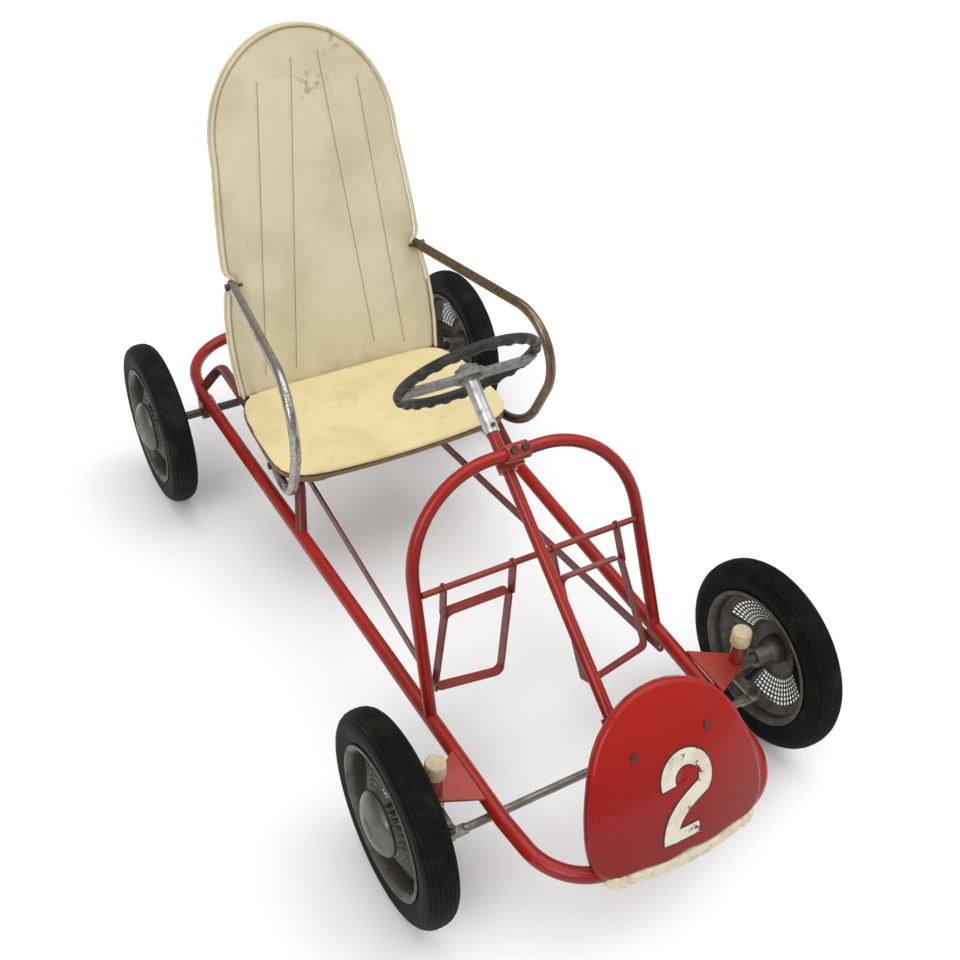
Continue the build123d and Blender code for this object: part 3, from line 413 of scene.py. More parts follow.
hub_steel = old_steel("hub_steel", (0.16, 0.145, 0.12), (0.055, 0.048, 0.04), 0.38)
dome_steel = old_steel("dome_steel", (0.135, 0.135, 0.115), (0.05, 0.05, 0.04), 0.30)
HUB_SECTION = [(0.0075, -0.019), (0.0125, -0.019), (0.0132, -0.0183), (0.0132, 0.0005),
               (0.0165, 0.0030), (0.0190, 0.0120), (0.0190, 0.0200), (0.0160, 0.0222),
               (0.0075, 0.0222)]


def dome_section():
    """The cover's section as (radius, outward distance): a thin skirt inside, then a crown
    whose radius falls as a cosine while it rises 15 mm as a sine."""
    bend = np.linspace(0, 1, 14) * np.pi / 2
    crown = np.stack([0.0385 * np.cos(bend) ** 0.8 + 0.0002,
                      0.0195 + 0.0150 * np.sin(bend) ** 1.3], 1)
    skirt = np.array([(0.0002, 0.0325), (0.0340, 0.0190), (0.0380, 0.0172), (0.0392, 0.0180)])
    return np.concatenate([skirt, crown])


for place, (centre, side, body) in WHEELS.items():
    disc = disc_mesh(f"disc_{place}", centre, side, body)
    dome = surface(f"dome_{place}", turned(dome_section(), centre, side, 96),
                   dome_steel, body, close_u=True, close_v=True)
    barrel = surface(f"hub_{place}", turned(HUB_SECTION, centre, side, 64), hub_steel, body,
                     close_u=True, close_v=True)
    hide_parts(f"wheel_{place}_disc")
wear([f"wheel_{place}_hub_cap" for place in WHEELS], hub_steel)


# ---- Kingpin caps -----------------------------------------------------------------------
# Cream plastic caps, knurled round the side and dished on top, pressed on the posts.
def cream_plastic(name, colour, grime):
    """Aged moulding with grime in its hollows."""
    made = Finish(name, Subsurface_Weight=0.05)
    cloud = made.noise(70.0, 6.0, 0.65)
    made.set("Base Color", made.blend(colour, grime, cloud.between(0.46, 0.72) * 0.7))
    made.set("Roughness", 0.38 + cloud * 0.2)
    made.bumps(cloud, 0.25, 0.0005)
    return made.material


cap_cream = cream_plastic("grubby_cream", (0.62, 0.52, 0.32), (0.30, 0.22, 0.11))
KINGPIN_X = 0.214


def cap_grid(centre_x, low, high):
    """A cap by height and angle: 28 flutes of 0.6 mm round its side, a rounded shoulder
    and a shallow dish in its top."""
    tall = high - low
    profile = np.array([(0.0092, 0.0), (0.0118, 0.0), (0.0122, 0.0006), (0.0122, tall - 0.0035),
                        (0.0117, tall - 0.0014), (0.0105, tall - 0.0002), (0.0092, tall),
                        (0.0080, tall - 0.0006), (0.0060, tall - 0.0011),
                        (0.0001, tall - 0.0013)])
    angle = np.linspace(0, 2 * np.pi, 168, endpoint=False)[:, None]
    side = (profile[None, :, 0] > 0.0116) & (profile[None, :, 1] < tall - 0.002)
    radius = profile[None, :, 0] + 0.0003 * np.cos(28 * angle) * side
    height = low + profile[None, :, 1] + 0 * angle
    return np.stack([centre_x + radius * np.cos(angle), AXLE_Y + radius * np.sin(angle),
                     height], 2)


for label, side in (("left", 1), ("right", -1)):
    low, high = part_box(f"kingpin_cap_{label}")
    cap = surface(f"cap_{label}", cap_grid(side * KINGPIN_X, low.z, high.z),
                  cap_cream, "chassis", close_u=True)
    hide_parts(f"kingpin_cap_{label}")


# ---- Handwheel --------------------------------------------------------------------------
# A dark moulded rim with finger bumps beneath, on a rough cast bar and stepped boss. Below
# it a bright turned sleeve joins it to the red column and is held by one screw.
HAND_BACK = 0.328              # the rim's centre behind the front axle
HAND_CENTRE = np.array([0, AXLE_Y + HAND_BACK, 0.1955 + 0.75 * HAND_BACK])
HAND_AXIS = np.array([0, 0.8, 0.6])
HAND_UP = np.array([0, -0.6, 0.8])
RIM_RADIUS = 0.0895
RIM_TUBE = 0.0070
FINGER_BUMPS = 24


def rim_grid():
    """A torus by angle round the rim and round its tube; the tube swells by 1.6 mm on its
    underside at each finger bump."""
    around = np.linspace(0, 2 * np.pi, 288, endpoint=False)[:, None]
    tube = np.linspace(0, 2 * np.pi, 28, endpoint=False)[None, :]
    under = np.clip(-np.sin(tube - 0.25), 0, 1) ** 2
    swell = 0.0016 * under * np.clip(np.cos(FINGER_BUMPS * around) * 1.4, -0.3, 1)
    thick = RIM_TUBE + swell
    reach = RIM_RADIUS + thick * np.cos(tube)
    height = thick * 0.92 * np.sin(tube)
    x = (reach * np.cos(around))[..., None] * np.array([1, 0, 0])
    y = (reach * np.sin(around))[..., None] * HAND_UP
    return HAND_CENTRE + x + y + height[..., None] * HAND_AXIS


def rim_plastic():
    """Dark moulded plastic, dusty on top, with a soft sheen."""
    made = Finish("dark_rim_moulding", Specular_IOR_Level=0.25)
    cloud = made.noise(55.0, 6.0, 0.7)
    tone = made.blend((0.022, 0.023, 0.021), (0.060, 0.060, 0.052), cloud.between(0.45, 0.7) * 0.7)
    made.set("Base Color", tone)
    made.set("Roughness", 0.36 + cloud * 0.2)
    made.bumps(made.noise(600.0, 3.0) + cloud, 0.3, 0.0004)
    return made.material


rim = surface("handwheel_grip", rim_grid(), rim_plastic(), "steering", close_u=True, close_v=True)
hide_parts("handwheel_rim")


def casting():
    """Rough grey casting, pitted, with lighter worn patches."""
    made = Finish("rough_grey_casting")
    cloud = made.noise(95.0, 6.0, 0.7)
    fine = made.noise(420.0, 4.0, 0.7)
    mask = cloud.between(0.44, 0.62)
    made.set("Base Color", made.blend((0.25, 0.25, 0.235), (0.085, 0.083, 0.072), mask * 0.85))
    made.set("Metallic", 0.5 - mask * 0.3)
    made.set("Roughness", 0.42 + fine * 0.25)
    made.bumps(fine + cloud, 0.5, 0.0009)
    return made.material


wear(["handwheel_hub"], casting())


def satin_sleeve():
    """Turned alloy with fine lathe rings along the column and dull stains."""
    made = Finish("satin_turned_alloy", Metallic=0.9)
    along = made.dot(tuple(HAND_AXIS))
    rings = made.node("ShaderNodeMath", {"operation": "SINE"}, {0: along * 9000.0})
    cloud = made.noise(60.0, 6.0, 0.7)
    made.set("Base Color", made.blend((0.56, 0.57, 0.55), (0.24, 0.24, 0.21),
                                      cloud.between(0.45, 0.72) * 0.75))
    made.set("Roughness", 0.28 + cloud.between(0.4, 0.7) * 0.25)
    made.bumps(rings * 0.2 + cloud, 0.2, 0.0004)
    return made.material


wear(["column_sleeve"], satin_sleeve())


# ---- Cowl -------------------------------------------------------------------------------
# A pressed and domed steel shield, sprayed red, its edge turned back all round. It carries
# a plain painted racing numeral, cream with a black outline, now chipped.
COWL_FOOT = np.array([0, AXLE_Y - 0.190, 0.131])
COWL_TOP = np.array([0, AXLE_Y - 0.089, 0.297])
COWL_TALL = float(np.linalg.norm(COWL_TOP - COWL_FOOT))
COWL_UP = (COWL_TOP - COWL_FOOT) / COWL_TALL
COWL_OUT = np.array([0, -COWL_UP[2], COWL_UP[1]])
DOME = 0.470                   # radius of the dome
BULGE = 0.010                  # how far it stands out in the middle
WAIST = 0.45 * COWL_TALL       # height of the point that the outline turns about


def dome_height(x, up):
    """How far the dome stands out of the line from foot to top: a ball of radius 470 mm."""
    return np.sqrt(DOME ** 2 - x ** 2 - (up - COWL_TALL / 2) ** 2) - (DOME - BULGE)


def on_cowl(x, up, lift=0.0):
    """Points on the cowl from distances across and up it, lifted off its face."""
    out = dome_height(x, up) + lift
    return (COWL_FOOT + x[..., None] * np.array([1, 0, 0]) + up[..., None] * COWL_UP
            + out[..., None] * COWL_OUT)


def cowl_edge(count):
    """The outline, by angle about a point 45% up: half widths joined at smooth corners."""
    share = np.array([0.0, 0.012, 0.04, 0.10, 0.20, 0.35, 0.50, 0.60, 0.70, 0.80, 0.90, 0.955,
                      0.985, 1.0])
    wide = np.array([0.0985, 0.1035, 0.1085, 0.1135, 0.1155, 0.1130, 0.1065, 0.1005, 0.0925,
                     0.0805, 0.0600, 0.0420, 0.0250, 0.0])
    x = np.concatenate([wide, -wide[::-1], [-0.06, 0.0, 0.06]])
    up = np.concatenate([share, share[::-1], [0.0, 0.0, 0.0]]) * COWL_TALL
    angle = np.unwrap(np.arctan2(up - WAIST, x))
    reach = np.hypot(up - WAIST, x)
    turn = np.linspace(angle[0], angle[0] + 2 * np.pi, count, endpoint=False)
    reach = np.interp(turn, np.append(angle, angle[0] + 2 * np.pi), np.append(reach, reach[0]))
    smooth = np.stack([np.roll(reach, k) for k in range(-3, 4)]).mean(0)
    return turn, smooth


def cowl_grid():
    """Rows from the middle to the edge follow the dome, then roll back over a 5 mm round
    into a flange 9 mm deep."""
    turn, reach = cowl_edge(220)
    flat = np.concatenate([[0.002], np.linspace(0.08, 0.90, 14), [0.93, 0.95]])
    rows = []
    for share in flat:
        x, up = share * reach * np.cos(turn), WAIST + share * reach * np.sin(turn)
        rows.append(on_cowl(x, up))
    start = 0.95 * reach
    for bend in np.linspace(0.15, 1.0, 9):
        swing = bend * math.pi / 2
        far = start + (reach - start) * math.sin(swing)
        x, up = far * np.cos(turn), WAIST + far * np.sin(turn)
        rows.append(on_cowl(x, up, -0.0052 * (1 - math.cos(swing))))
    rows.append(on_cowl(x, up, -0.0095))
    return np.stack(rows)


def cowl_red():
    """Glossy pressed panel with painted light and shade: bright above, deep red low down. It has
    fine scratches.
    """
    made = Finish("glossy_cowl_enamel", Coat_Roughness=0.07, Specular_IOR_Level=0.2)
    # Painted light and shade: the red brightens with height and deepens low down.
    height = made.dot((0, 0, 1)).between(0.12, 0.30)
    cloud = made.noise(16.0, 6.0, 0.65)
    tone = made.blend((0.19, 0.002, 0.002), (0.36, 0.012, 0.007), height * 0.85 + cloud * 0.12)
    scratch = made.noise(120.0, 5.0, 0.75, stretch=(1.0, 1.0, 0.18))
    tone = made.blend(tone, (0.11, 0.006, 0.005), scratch.between(0.60, 0.80) * 0.5)
    chip = made.noise(130.0, 2.0).between(0.715, 0.74)
    made.set("Base Color", made.blend(tone, RUST, chip * 0.8))
    made.set("Roughness", 0.22 + scratch.between(0.45, 0.75) * 0.22)
    made.set("Coat Weight", 0.16 - chip * 0.16)
    made.bumps(cloud * 1.2 + scratch * 0.3, 0.16, 0.0012)
    return made.material


cowl = surface("cowl_shield", cowl_grid(), cowl_red(), "chassis", close_v=True)
sheet = cowl.modifiers.new("sheet", "SOLIDIFY")
sheet.thickness = 0.0016
sheet.offset = -1
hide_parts("cowl")


def numeral_line():
    """Centre lines of the plain numeral two as points across and up the cowl: an arc of a
    circle that runs on into a curved leg, and a straight foot."""
    hook = np.radians(np.linspace(188, -38, 40))
    cx, cy, radius = 0.0085, 0.0835, 0.0245
    top = np.stack([cx + radius * np.cos(hook), cy + radius * np.sin(hook)], 1)
    pull = np.linspace(0, 1, 24)[1:, None]
    leg = ((1 - pull) ** 2 * top[-1] + 2 * pull * (1 - pull) * np.array([-0.0225, 0.0520])
           + pull ** 2 * np.array([-0.0235, 0.0160]))
    foot = np.linspace([-0.0235, 0.0228], [0.0145, 0.0228], 10)
    return np.concatenate([top, leg]), foot


def ribbon(points, width, lift):
    """A flat band along a line on the cowl, as a grid across by along."""
    along = np.gradient(points, axis=0)
    along /= np.linalg.norm(along, axis=1)[:, None]
    across = np.stack([-along[:, 1], along[:, 0]], 1)
    share = np.linspace(-0.5, 0.5, 9)[None, :, None] * width
    flat = points[:, None] + across[:, None] * share
    return on_cowl(flat[..., 0], flat[..., 1], lift)


def chipped(name, colour, second):
    """Old sign paint that has flaked: alpha drops out in ragged flakes."""
    made = Finish(name, Roughness=0.42)
    flake = made.noise(95.0, 5.0, 0.62)
    area = made.noise(30.0, 2.0)
    gone = flake.between(0.60, 0.63) * area.between(0.44, 0.56)
    made.set("Base Color", made.blend(colour, second, made.noise(50.0).between(0.45, 0.7) * 0.5))
    made.set("Alpha", 1 - gone)
    return made.material


numeral_black = chipped("numeral_outline", (0.012, 0.011, 0.012), (0.03, 0.02, 0.02))
numeral_white = chipped("numeral_face", (0.66, 0.62, 0.50), (0.45, 0.40, 0.30))
hook_line, foot_line = numeral_line()
for label, material, extra, lift in (("outline", numeral_black, 0.0035, 0.00035),
                                     ("face", numeral_white, 0.0, 0.00055)):
    for part, line in (("hook", hook_line), ("foot", foot_line)):
        step = (line[-1] - line[-2]) / np.linalg.norm(line[-1] - line[-2])
        back = (line[0] - line[1]) / np.linalg.norm(line[0] - line[1])
        longer = line.copy()       # the outline runs past the face at both ends
        longer[0] += back * extra / 2
        longer[-1] += step * extra / 2
        width = (0.0178 if part == "hook" else 0.0135) + extra
        grow = 0.00008 if part == "foot" else 0.0
        band = surface(f"numeral_{part}_{label}", ribbon(longer, width, lift + grow), material,
                       "chassis")


# ---- Bumper -----------------------------------------------------------------------------
# A cream moulded strip that follows the front bow, with rounded ends and two grooves near
# each end where it was strapped on.
def bumper_grid():
    """Rounded oblong sections along a bow of 370 mm radius; each section shrinks to a
    point over the last 9 mm and dips by 2 mm at the grooves."""
    half = 0.101
    x = np.concatenate([np.linspace(-half, -0.070, 60), np.linspace(-0.066, 0.066, 40),
                        np.linspace(0.070, half, 60)])
    angle = np.linspace(0, 2 * np.pi, 40, endpoint=False)
    end = np.clip((half - np.abs(x)) / 0.009, 0, 1)
    size = np.sqrt(np.clip(1 - (1 - end) ** 2, 1e-6, 1))
    size = size * (0.86 + 0.14 * np.clip((np.abs(x) - 0.079) / 0.003, 0, 1))
    for spot in (0.0865, 0.0775):
        size = size - 0.20 * np.exp(-(((np.abs(x) - spot) / 0.0015) ** 2))
    bow = 0.370
    front = -0.196 + bow - np.sqrt(bow ** 2 - x ** 2)
    power = 0.55
    deep = np.sign(np.cos(angle)) * np.abs(np.cos(angle)) ** power
    tall = np.sign(np.sin(angle)) * np.abs(np.sin(angle)) ** power
    y = AXLE_Y + front[:, None] + 0.0088 - 0.0088 * size[:, None] * deep[None, :]
    z = 0.1175 + 0.0105 * size[:, None] * tall[None, :]
    return np.stack([np.broadcast_to(x[:, None], y.shape), y, z], 2)


yellowed = cream_plastic("yellowed_cream", (0.62, 0.57, 0.42), (0.36, 0.30, 0.19))
bumper = surface("bumper_strip", bumper_grid(), yellowed, "chassis", close_v=True, cap=True)
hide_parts("bumper")


# ---- Seat pad ---------------------------------------------------------------------------
# Cream-yellow coated cloth drawn over thin foam on a plywood board. It is soft and napped
# like suede and stained in broad patches. Painted shade darkens its edge as it turns under.
def closed_pad(outline, low, high, crown, rings=16):
    """A pillow on an outline: rings shrink to the middle while the height follows a
    quarter ellipse near the edge and a slow crown over the rest."""
    share = 1 - np.linspace(0, 1, rings) ** 1.6
    middle = outline.mean(0)
    rows = []
    half = (high - low) / 2
    for sign in (1, -1):
        for s in share:
            edge = np.clip((1 - s) / 0.07, 0, 1)
            round_off = np.sqrt(1 - (1 - edge) ** 2)
            flat = middle + (outline - middle) * max(s, 0.002)
            z = (high + low) / 2 + sign * half * round_off
            z += crown * (1 - s * s) if sign > 0 else 0
            rows.append(np.column_stack([flat, np.full(len(flat), z)]))
    top, bottom = rows[:rings], rows[rings:]
    return np.stack(top[::-1] + bottom[1:])


def puff(piece, voxel, pressure, cap, steps=20):
    """Remeshes a pad, swells it as cloth under pressure, caps the travel of each point and
    smooths it once."""
    bpy.context.view_layer.objects.active = piece
    piece.select_set(True)
    piece.data.remesh_voxel_size = voxel
    bpy.ops.object.voxel_remesh()
    start = np.zeros(len(piece.data.vertices) * 3, np.float32)
    piece.data.vertices.foreach_get("co", start)
    cloth = piece.modifiers.new("swell", "CLOTH")
    cloth.settings.use_pressure = True
    cloth.settings.uniform_pressure_force = pressure
    cloth.settings.effector_weights.gravity = 0
    cloth.settings.quality = 5
    for step in range(1, steps + 1):
        bpy.context.scene.frame_set(step)
    shown = piece.evaluated_get(bpy.context.evaluated_depsgraph_get()).to_mesh()
    end = np.zeros_like(start)
    shown.vertices.foreach_get("co", end)
    piece.modifiers.remove(cloth)
    bpy.context.scene.frame_set(1)
    move = (end - start).reshape(-1, 3)
    length = np.linalg.norm(move, axis=1, keepdims=True)
    move *= np.minimum(1, cap / np.maximum(length, 1e-9))
    piece.data.vertices.foreach_set("co", (start.reshape(-1, 3) + move).ravel())
    piece.data.update()
    smooth = piece.modifiers.new("smooth", "SUBSURF")
    smooth.levels = smooth.render_levels = 1
    piece.data.polygons.foreach_set("use_smooth", [True] * len(piece.data.polygons))
    piece.select_set(False)
    return piece


def seat_outline():
    """Front and side points of the seat, smoothed into one closed line."""
    right = np.array([(0.0, 0.480), (0.060, 0.4812), (0.115, 0.4850), (0.150, 0.4915),
                      (0.172, 0.5035), (0.184, 0.5230), (0.1875, 0.5500), (0.1870, 0.5800),
                      (0.1860, 0.6100), (0.1840, 0.6400), (0.1805, 0.6680), (0.1730, 0.6930),
                      (0.1600, 0.7090), (0.1380, 0.7155), (0.0700, 0.7160), (0.0, 0.7160)])
    line = np.concatenate([right, (right * [-1, 1])[-2:0:-1]])
    loop = np.vstack([line, line[:1]])
    reach = np.append(0, np.cumsum(np.linalg.norm(np.diff(loop, axis=0), axis=1)))
    even = np.linspace(0, reach[-1], 260, endpoint=False)
    made = np.stack([np.interp(even, reach, loop[:, k]) for k in (0, 1)], 1)
    for _ in range(6):
        made = (np.roll(made, 1, 0) + made * 2 + np.roll(made, -1, 0)) / 4
    return made + [0, AXLE_Y]


def suede():
    """Napped coated cloth: broad cream and straw clouds, dark stains, a fine nap."""
    made = Finish("stained_cream_cloth", Sheen_Weight=0.25, Sheen_Roughness=0.5)
    broad = made.noise(9.0, 5.0, 0.6)
    mid = made.noise(34.0, 6.0, 0.68)
    fine = made.noise(900.0, 2.0)
    tone = made.blend((0.72, 0.600, 0.315), (0.63, 0.520, 0.262), broad.between(0.42, 0.66))
    tone = made.blend(tone, (0.50, 0.395, 0.19), mid.between(0.56, 0.78) * 0.5)
    # Painted shade: the cloth darkens low on its edge, where it turns under the board.
    edge = made.dot((0, 0, 1)).between(0.2155, 0.2105)
    tone = made.blend(tone, (0.10, 0.065, 0.035), edge * 0.85)
    made.set("Base Color", tone)
    made.set("Roughness", 0.78 + mid * 0.1)
    made.bumps(fine * 0.5 + mid * 0.9 + broad * 1.5, 0.35, 0.0010)
    return made.material


SEAT_LOW = 0.2125
SEAT_HIGH = 0.2205
seat_line = seat_outline()
centre = seat_line.mean(0)
pad_line = centre + (seat_line - centre) * 0.988
pad = surface("seat_cushion", closed_pad(pad_line, SEAT_LOW, SEAT_HIGH, 0.0015), suede(), None,
              close_v=True)
puff(pad, 0.004, 2.0, 0.0018)
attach(pad, "chassis")
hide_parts("seat_pad")


def plywood():
    """Plain board edge with layered plies, seen from below and behind."""
    made = Finish("plain_plywood", Roughness=0.7)
    plies = made.node("ShaderNodeMath", {"operation": "SINE"}, {0: made.dot((0, 0, 1)) * 3200.0})
    grain = made.noise(30.0, 6.0, 0.7, stretch=(1, 9, 9))
    made.set("Base Color", made.blend((0.22, 0.14, 0.075), (0.10, 0.06, 0.035),
                                      grain.between(0.4, 0.7) * 0.8 + plies * 0.1))
    made.bumps(grain, 0.4, 0.0008)
    return made.material


wear(["seat_board"], plywood())


# ---- Backrest ---------------------------------------------------------------------------
# A sleeve of off-white coated cloth over foam and a bent tube, open at the foot. Twin piping
# runs round its edge, broken by a notch at each armrest, and four pressed lines fan down it.
BACK_FOOT = np.array([0, AXLE_Y + 0.722, 0.226])
LEAN = math.radians(15.2)
BACK_UP = np.array([0, math.sin(LEAN), math.cos(LEAN)])
BACK_FRONT = np.array([0, -math.cos(LEAN), math.sin(LEAN)])


def back_side():
    """Half outline of the sleeve from its foot to the crown: leaning sides, a notch at the
    armrest and an elliptical arch."""
    low = [(0.1620, -0.016), (0.1650, 0.030), (0.1650, 0.070), (0.1620, 0.110), (0.1565, 0.140),
           (0.1510, 0.150), (0.1445, 0.155), (0.1425, 0.160), (0.1445, 0.165), (0.1510, 0.170),
           (0.1535, 0.180), (0.1520, 0.210), (0.1460, 0.270), (0.1400, 0.320)]
    turn = np.radians(np.linspace(4, 90, 30))
    arch = np.stack([0.1388 * np.cos(turn), 0.335 + 0.158 * np.sin(turn)], 1)
    return np.concatenate([np.array(low), arch])


def on_back(x, up, out):
    """Points on the backrest from distances across, up and out of its mid plane."""
    return (BACK_FOOT + x[..., None] * np.array([1, 0, 0]) + up[..., None] * BACK_UP
            + out[..., None] * BACK_FRONT)


def spread(line, count):
    """The same line with evenly spaced points."""
    reach = np.append(0, np.cumsum(np.linalg.norm(np.diff(line, axis=0), axis=1)))
    even = np.linspace(0, reach[-1], count)
    return np.stack([np.interp(even, reach, line[:, k]) for k in range(line.shape[1])], 1)


half_back = spread(back_side(), 120)
back_line = np.concatenate([half_back, (half_back * [-1, 1])[-2::-1]])
foot_run = np.linspace(back_line[-1], back_line[0], 40)[1:-1]
back_loop = np.concatenate([back_line, foot_run])


def sleeve_grid(thick, crown):
    """Front and back of the sleeve: the outline drawn in to the middle line, rounded near
    its edge and gently crowned."""
    rings = 18
    share = 1 - np.linspace(0, 1, rings) ** 1.5
    spine = np.stack([back_loop[:, 0] * 0, np.clip(back_loop[:, 1], 0.03, 0.36)], 1)
    rows = []
    for sign in (1, -1):
        for s in share:
            edge = np.clip((1 - s) / 0.06, 0, 1)
            flat = spine + (back_loop - spine) * s
            out = sign * (thick / 2 * np.sqrt(1 - (1 - edge) ** 2) + crown * (1 - s * s))
            rows.append(on_back(flat[:, 0], flat[:, 1], np.full(len(flat), out)))
    return np.stack(rows[:rings][::-1] + rows[rings + 1:])


FAN = [((-0.0606, 0.427), (-0.1226, 0.010)), ((-0.0067, 0.451), (-0.0747, 0.008)),
       ((0.0326, 0.455), (0.0569, 0.018)), ((0.0868, 0.411), (0.1072, 0.006))]


def vinyl(name, lines):
    """Off-white coated cloth: grubby clouds, stains near the crown, and pressed lines as
    narrow grooves darkened with painted shade at set distances across the backrest."""
    made = Finish(name, Sheen_Weight=0.08)
    broad = made.noise(8.0, 5.0, 0.6)
    mid = made.noise(40.0, 6.0, 0.7)
    weave = made.noise(700.0, 2.0)
    tone = made.blend((0.655, 0.590, 0.405), (0.565, 0.495, 0.315), broad.between(0.40, 0.66))
    tone = made.blend(tone, (0.42, 0.36, 0.22), mid.between(0.62, 0.82) * 0.5)
    up = made.dot(tuple(BACK_UP)) - float(BACK_FOOT @ BACK_UP)
    across = made.dot((1, 0, 0))
    stain = made.noise(75.0, 4.0).between(0.52, 0.66) * up.between(0.36, 0.42)
    tone = made.blend(tone, (0.30, 0.25, 0.15), stain * made.noise(14.0).between(0.5, 0.62) * 0.8)
    height = weave * 0.25 + mid * 0.5 + broad
    if lines:
        front = made.dot(tuple(BACK_FRONT)) - float(BACK_FOOT @ BACK_FRONT)
        on_front = front.between(0.0, 0.003)
        mask = 0.0
        soft = 0.0
        for (top_x, top_up), (low_x, low_up) in FAN:
            slope = (top_x - low_x) / (top_up - low_up)
            gap = abs(across - (up * slope + (low_x - slope * low_up)))
            ends = up.between(low_up, low_up + 0.004) * up.between(top_up, top_up - 0.004)
            mask = gap.between(0.0010, 0.0003) * ends + mask
            soft = gap.between(0.0050, 0.0005) * ends + soft
        # Painted shade: the pressed lines darken along their creases.
        tone = made.blend(tone, (0.17, 0.15, 0.10), mask * on_front * 0.9)
        rim_shade = abs(across).between(0.118, 0.150) * up.between(0.36, 0.20)
        tone = made.blend(tone, (0.40, 0.35, 0.22), rim_shade * 0.35)
        height = height - soft * on_front * 3.0
    made.set("Base Color", tone)
    made.set("Roughness", 0.50 + mid * 0.12)
    made.bumps(height, 0.3, 0.0012)
    return made.material


back = surface("backrest_sleeve", sleeve_grid(0.0175, 0.0008), vinyl("off_white_cloth", True),
               None, close_v=True)
puff(back, 0.005, 3.0, 0.002)
co = np.zeros(len(back.data.vertices) * 3)
back.data.vertices.foreach_get("co", co)
co = co.reshape(-1, 3)
up = (co - BACK_FOOT) @ BACK_UP
near_foot = np.exp(-((up / 0.03) ** 2))
wrinkle = 0.0016 * near_foot * np.sin(co[:, 0] * 190 + 2.2 * np.sin(co[:, 0] * 41))
co = co + wrinkle[:, None] * BACK_FRONT
back.data.vertices.foreach_set("co", co.ravel())
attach(back, "chassis")
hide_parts("backrest_pad")

piping_cloth = vinyl("piping_cloth", False)


def tube_along(line, radius, sides=10):
    """A round section carried along a line of points in space."""
    along = np.gradient(line, axis=0)
    along /= np.linalg.norm(along, axis=1)[:, None]
    side = np.cross(along, BACK_FRONT)
    side /= np.linalg.norm(side, axis=1)[:, None]
    up = np.cross(side, along)
    angle = np.linspace(0, 2 * np.pi, sides, endpoint=False)
    return (line[:, None] + radius * (np.cos(angle)[None, :, None] * side[:, None]
                                      + np.sin(angle)[None, :, None] * up[:, None]))


for label, out in (("front", 0.0078), ("rear", -0.0078)):
    inset = back_line + (np.array([0, 0.22]) - back_line) * 0.006
    run = on_back(inset[:, 0], inset[:, 1], np.full(len(inset), out))
    piping = surface(f"piping_{label}", tube_along(run, 0.0027), piping_cloth, "chassis",
                     close_v=True, cap=True)


# ---- Armrests ---------------------------------------------------------------------------
# Plated steel tube, bolted to the backrest and the seat tubes. One is dull and pitted
# chrome; on the other the plating has gone and left brown, polished rust.
def old_chrome(name, bright, pit, share, gloss):
    """Plating with fine pits in patches."""
    made = Finish(name, Metallic=1.0)
    patch = made.noise(22.0, 4.0).between(0.40, 0.62)
    pits = made.noise(480.0, 4.0, 0.7).between(0.50, 0.60)
    film = made.noise(60.0, 5.0, 0.7).between(0.42, 0.7)
    mask = pits * (patch * 0.75 + 0.25)
    made.set("Base Color", made.blend(made.blend(bright, [c * 0.6 for c in bright], film * 0.8),
                                      pit, mask * share))
    made.set("Roughness", gloss + mask * 0.3 + film * 0.12)
    made.bumps(film * 0.5 - mask * 0.5, 0.25, 0.0005)
    return made.material


wear(["armrest_right"], old_chrome("pitted_chrome", (0.42, 0.40, 0.37), (0.11, 0.09, 0.07),
                                   0.9, 0.2))
wear(["armrest_left"], old_chrome("brown_chrome", (0.215, 0.155, 0.105), (0.05, 0.032, 0.022),
                                  0.9, 0.27))


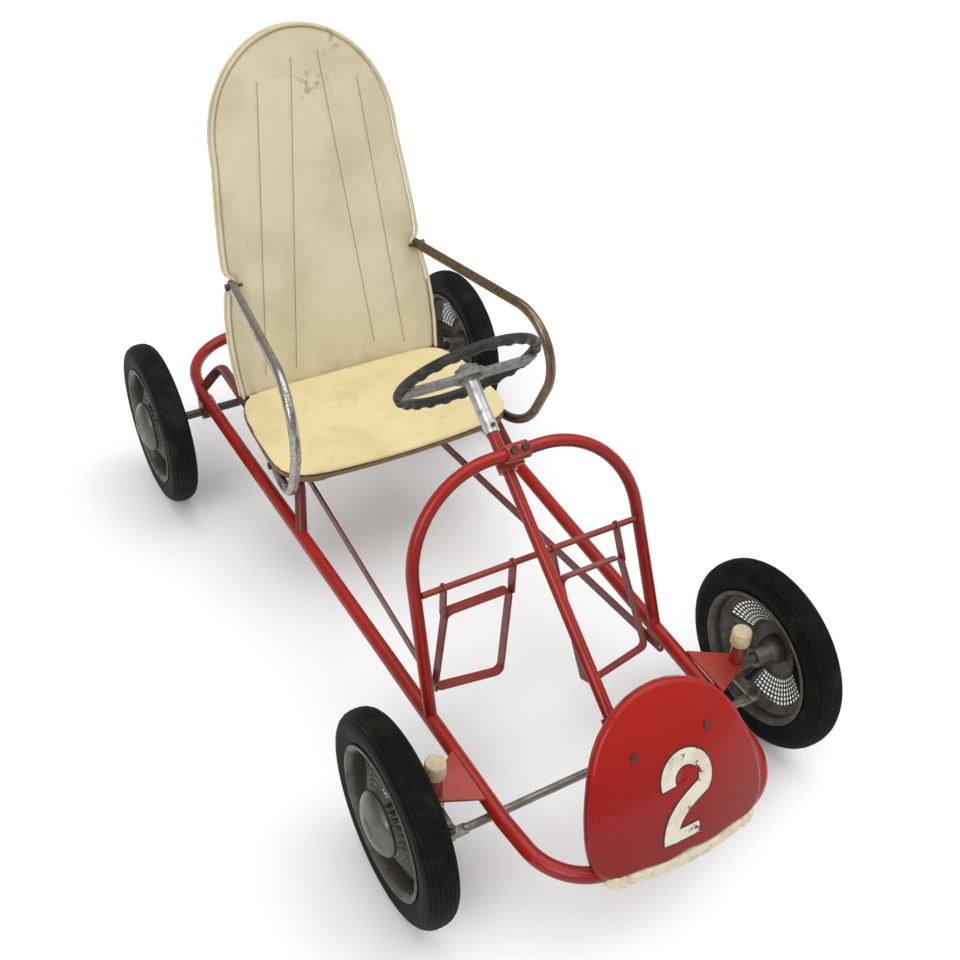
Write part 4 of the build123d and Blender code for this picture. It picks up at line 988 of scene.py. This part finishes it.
# ---- Studio -----------------------------------------------------------------------------
# A wide pale floor, soft daylight from all round and wide soft sources above and in front.
floor_white = Finish("pale_floor", Roughness=0.9)
floor_white.set("Base Color", (0.93, 0.93, 0.93))
reach = 12.0
ground = np.array([[(-reach, -reach, 0), (reach, -reach, 0)],
                   [(-reach, reach, 0), (reach, reach, 0)]])
floor = surface("floor", ground, floor_white.material, None)
floor.data.polygons.foreach_set("use_smooth", [False])
world = bpy.data.worlds.new("soft_daylight")
bpy.context.scene.world = world
world.use_nodes = True
world.node_tree.nodes["Background"].inputs["Color"].default_value = (1.0, 1.0, 1.0, 1.0)
world.node_tree.nodes["Background"].inputs["Strength"].default_value = 0.42


def daylight(name, aim, spread_angle, power):
    """A far, wide and soft source that shines along a direction."""
    light = bpy.data.lights.new(name, "SUN")
    light.angle = spread_angle
    light.energy = power
    made = bpy.data.objects.new(name, light)
    bpy.context.scene.collection.objects.link(made)
    made.rotation_mode = "QUATERNION"
    made.rotation_quaternion = Vector(aim).to_track_quat("-Z", "Y")


daylight("overhead", (-0.15, -0.1, -1.0), 1.1, 1.5)
daylight("front_left", (1.0, 0.75, -1.1), 0.7, 1.2)
daylight("right_side", (-1.0, 0.45, -1.0), 0.9, 0.56)

# The camera looks down on the kart from in front and to its right.
azimuth, elevation, roll = -0.541632, 0.675812, 0.043576
back_of = np.array([math.sin(azimuth) * math.cos(elevation),
                    -math.cos(azimuth) * math.cos(elevation), math.sin(elevation)])
level = np.array([math.cos(azimuth), math.sin(azimuth), 0.0])
upright = np.cross(back_of, level)
right_of = math.cos(roll) * level + math.sin(roll) * upright
top_of = -math.sin(roll) * level + math.cos(roll) * upright
camera = bpy.data.objects.new("camera", bpy.data.cameras.new("camera"))
bpy.context.scene.collection.objects.link(camera)
camera.data.lens = 1200.476 / 960 * 36
camera.data.sensor_width = 36
camera.data.clip_start = 0.05
camera.rotation_mode = "QUATERNION"
turn = Matrix([[right_of[k], top_of[k], back_of[k]] for k in range(3)])
camera.rotation_quaternion = turn.to_quaternion()
camera.location = (-0.609772, -0.726211 + AXLE_Y, 1.251000)
bpy.context.scene.camera = camera
bpy.context.scene.view_settings.view_transform = "Standard"
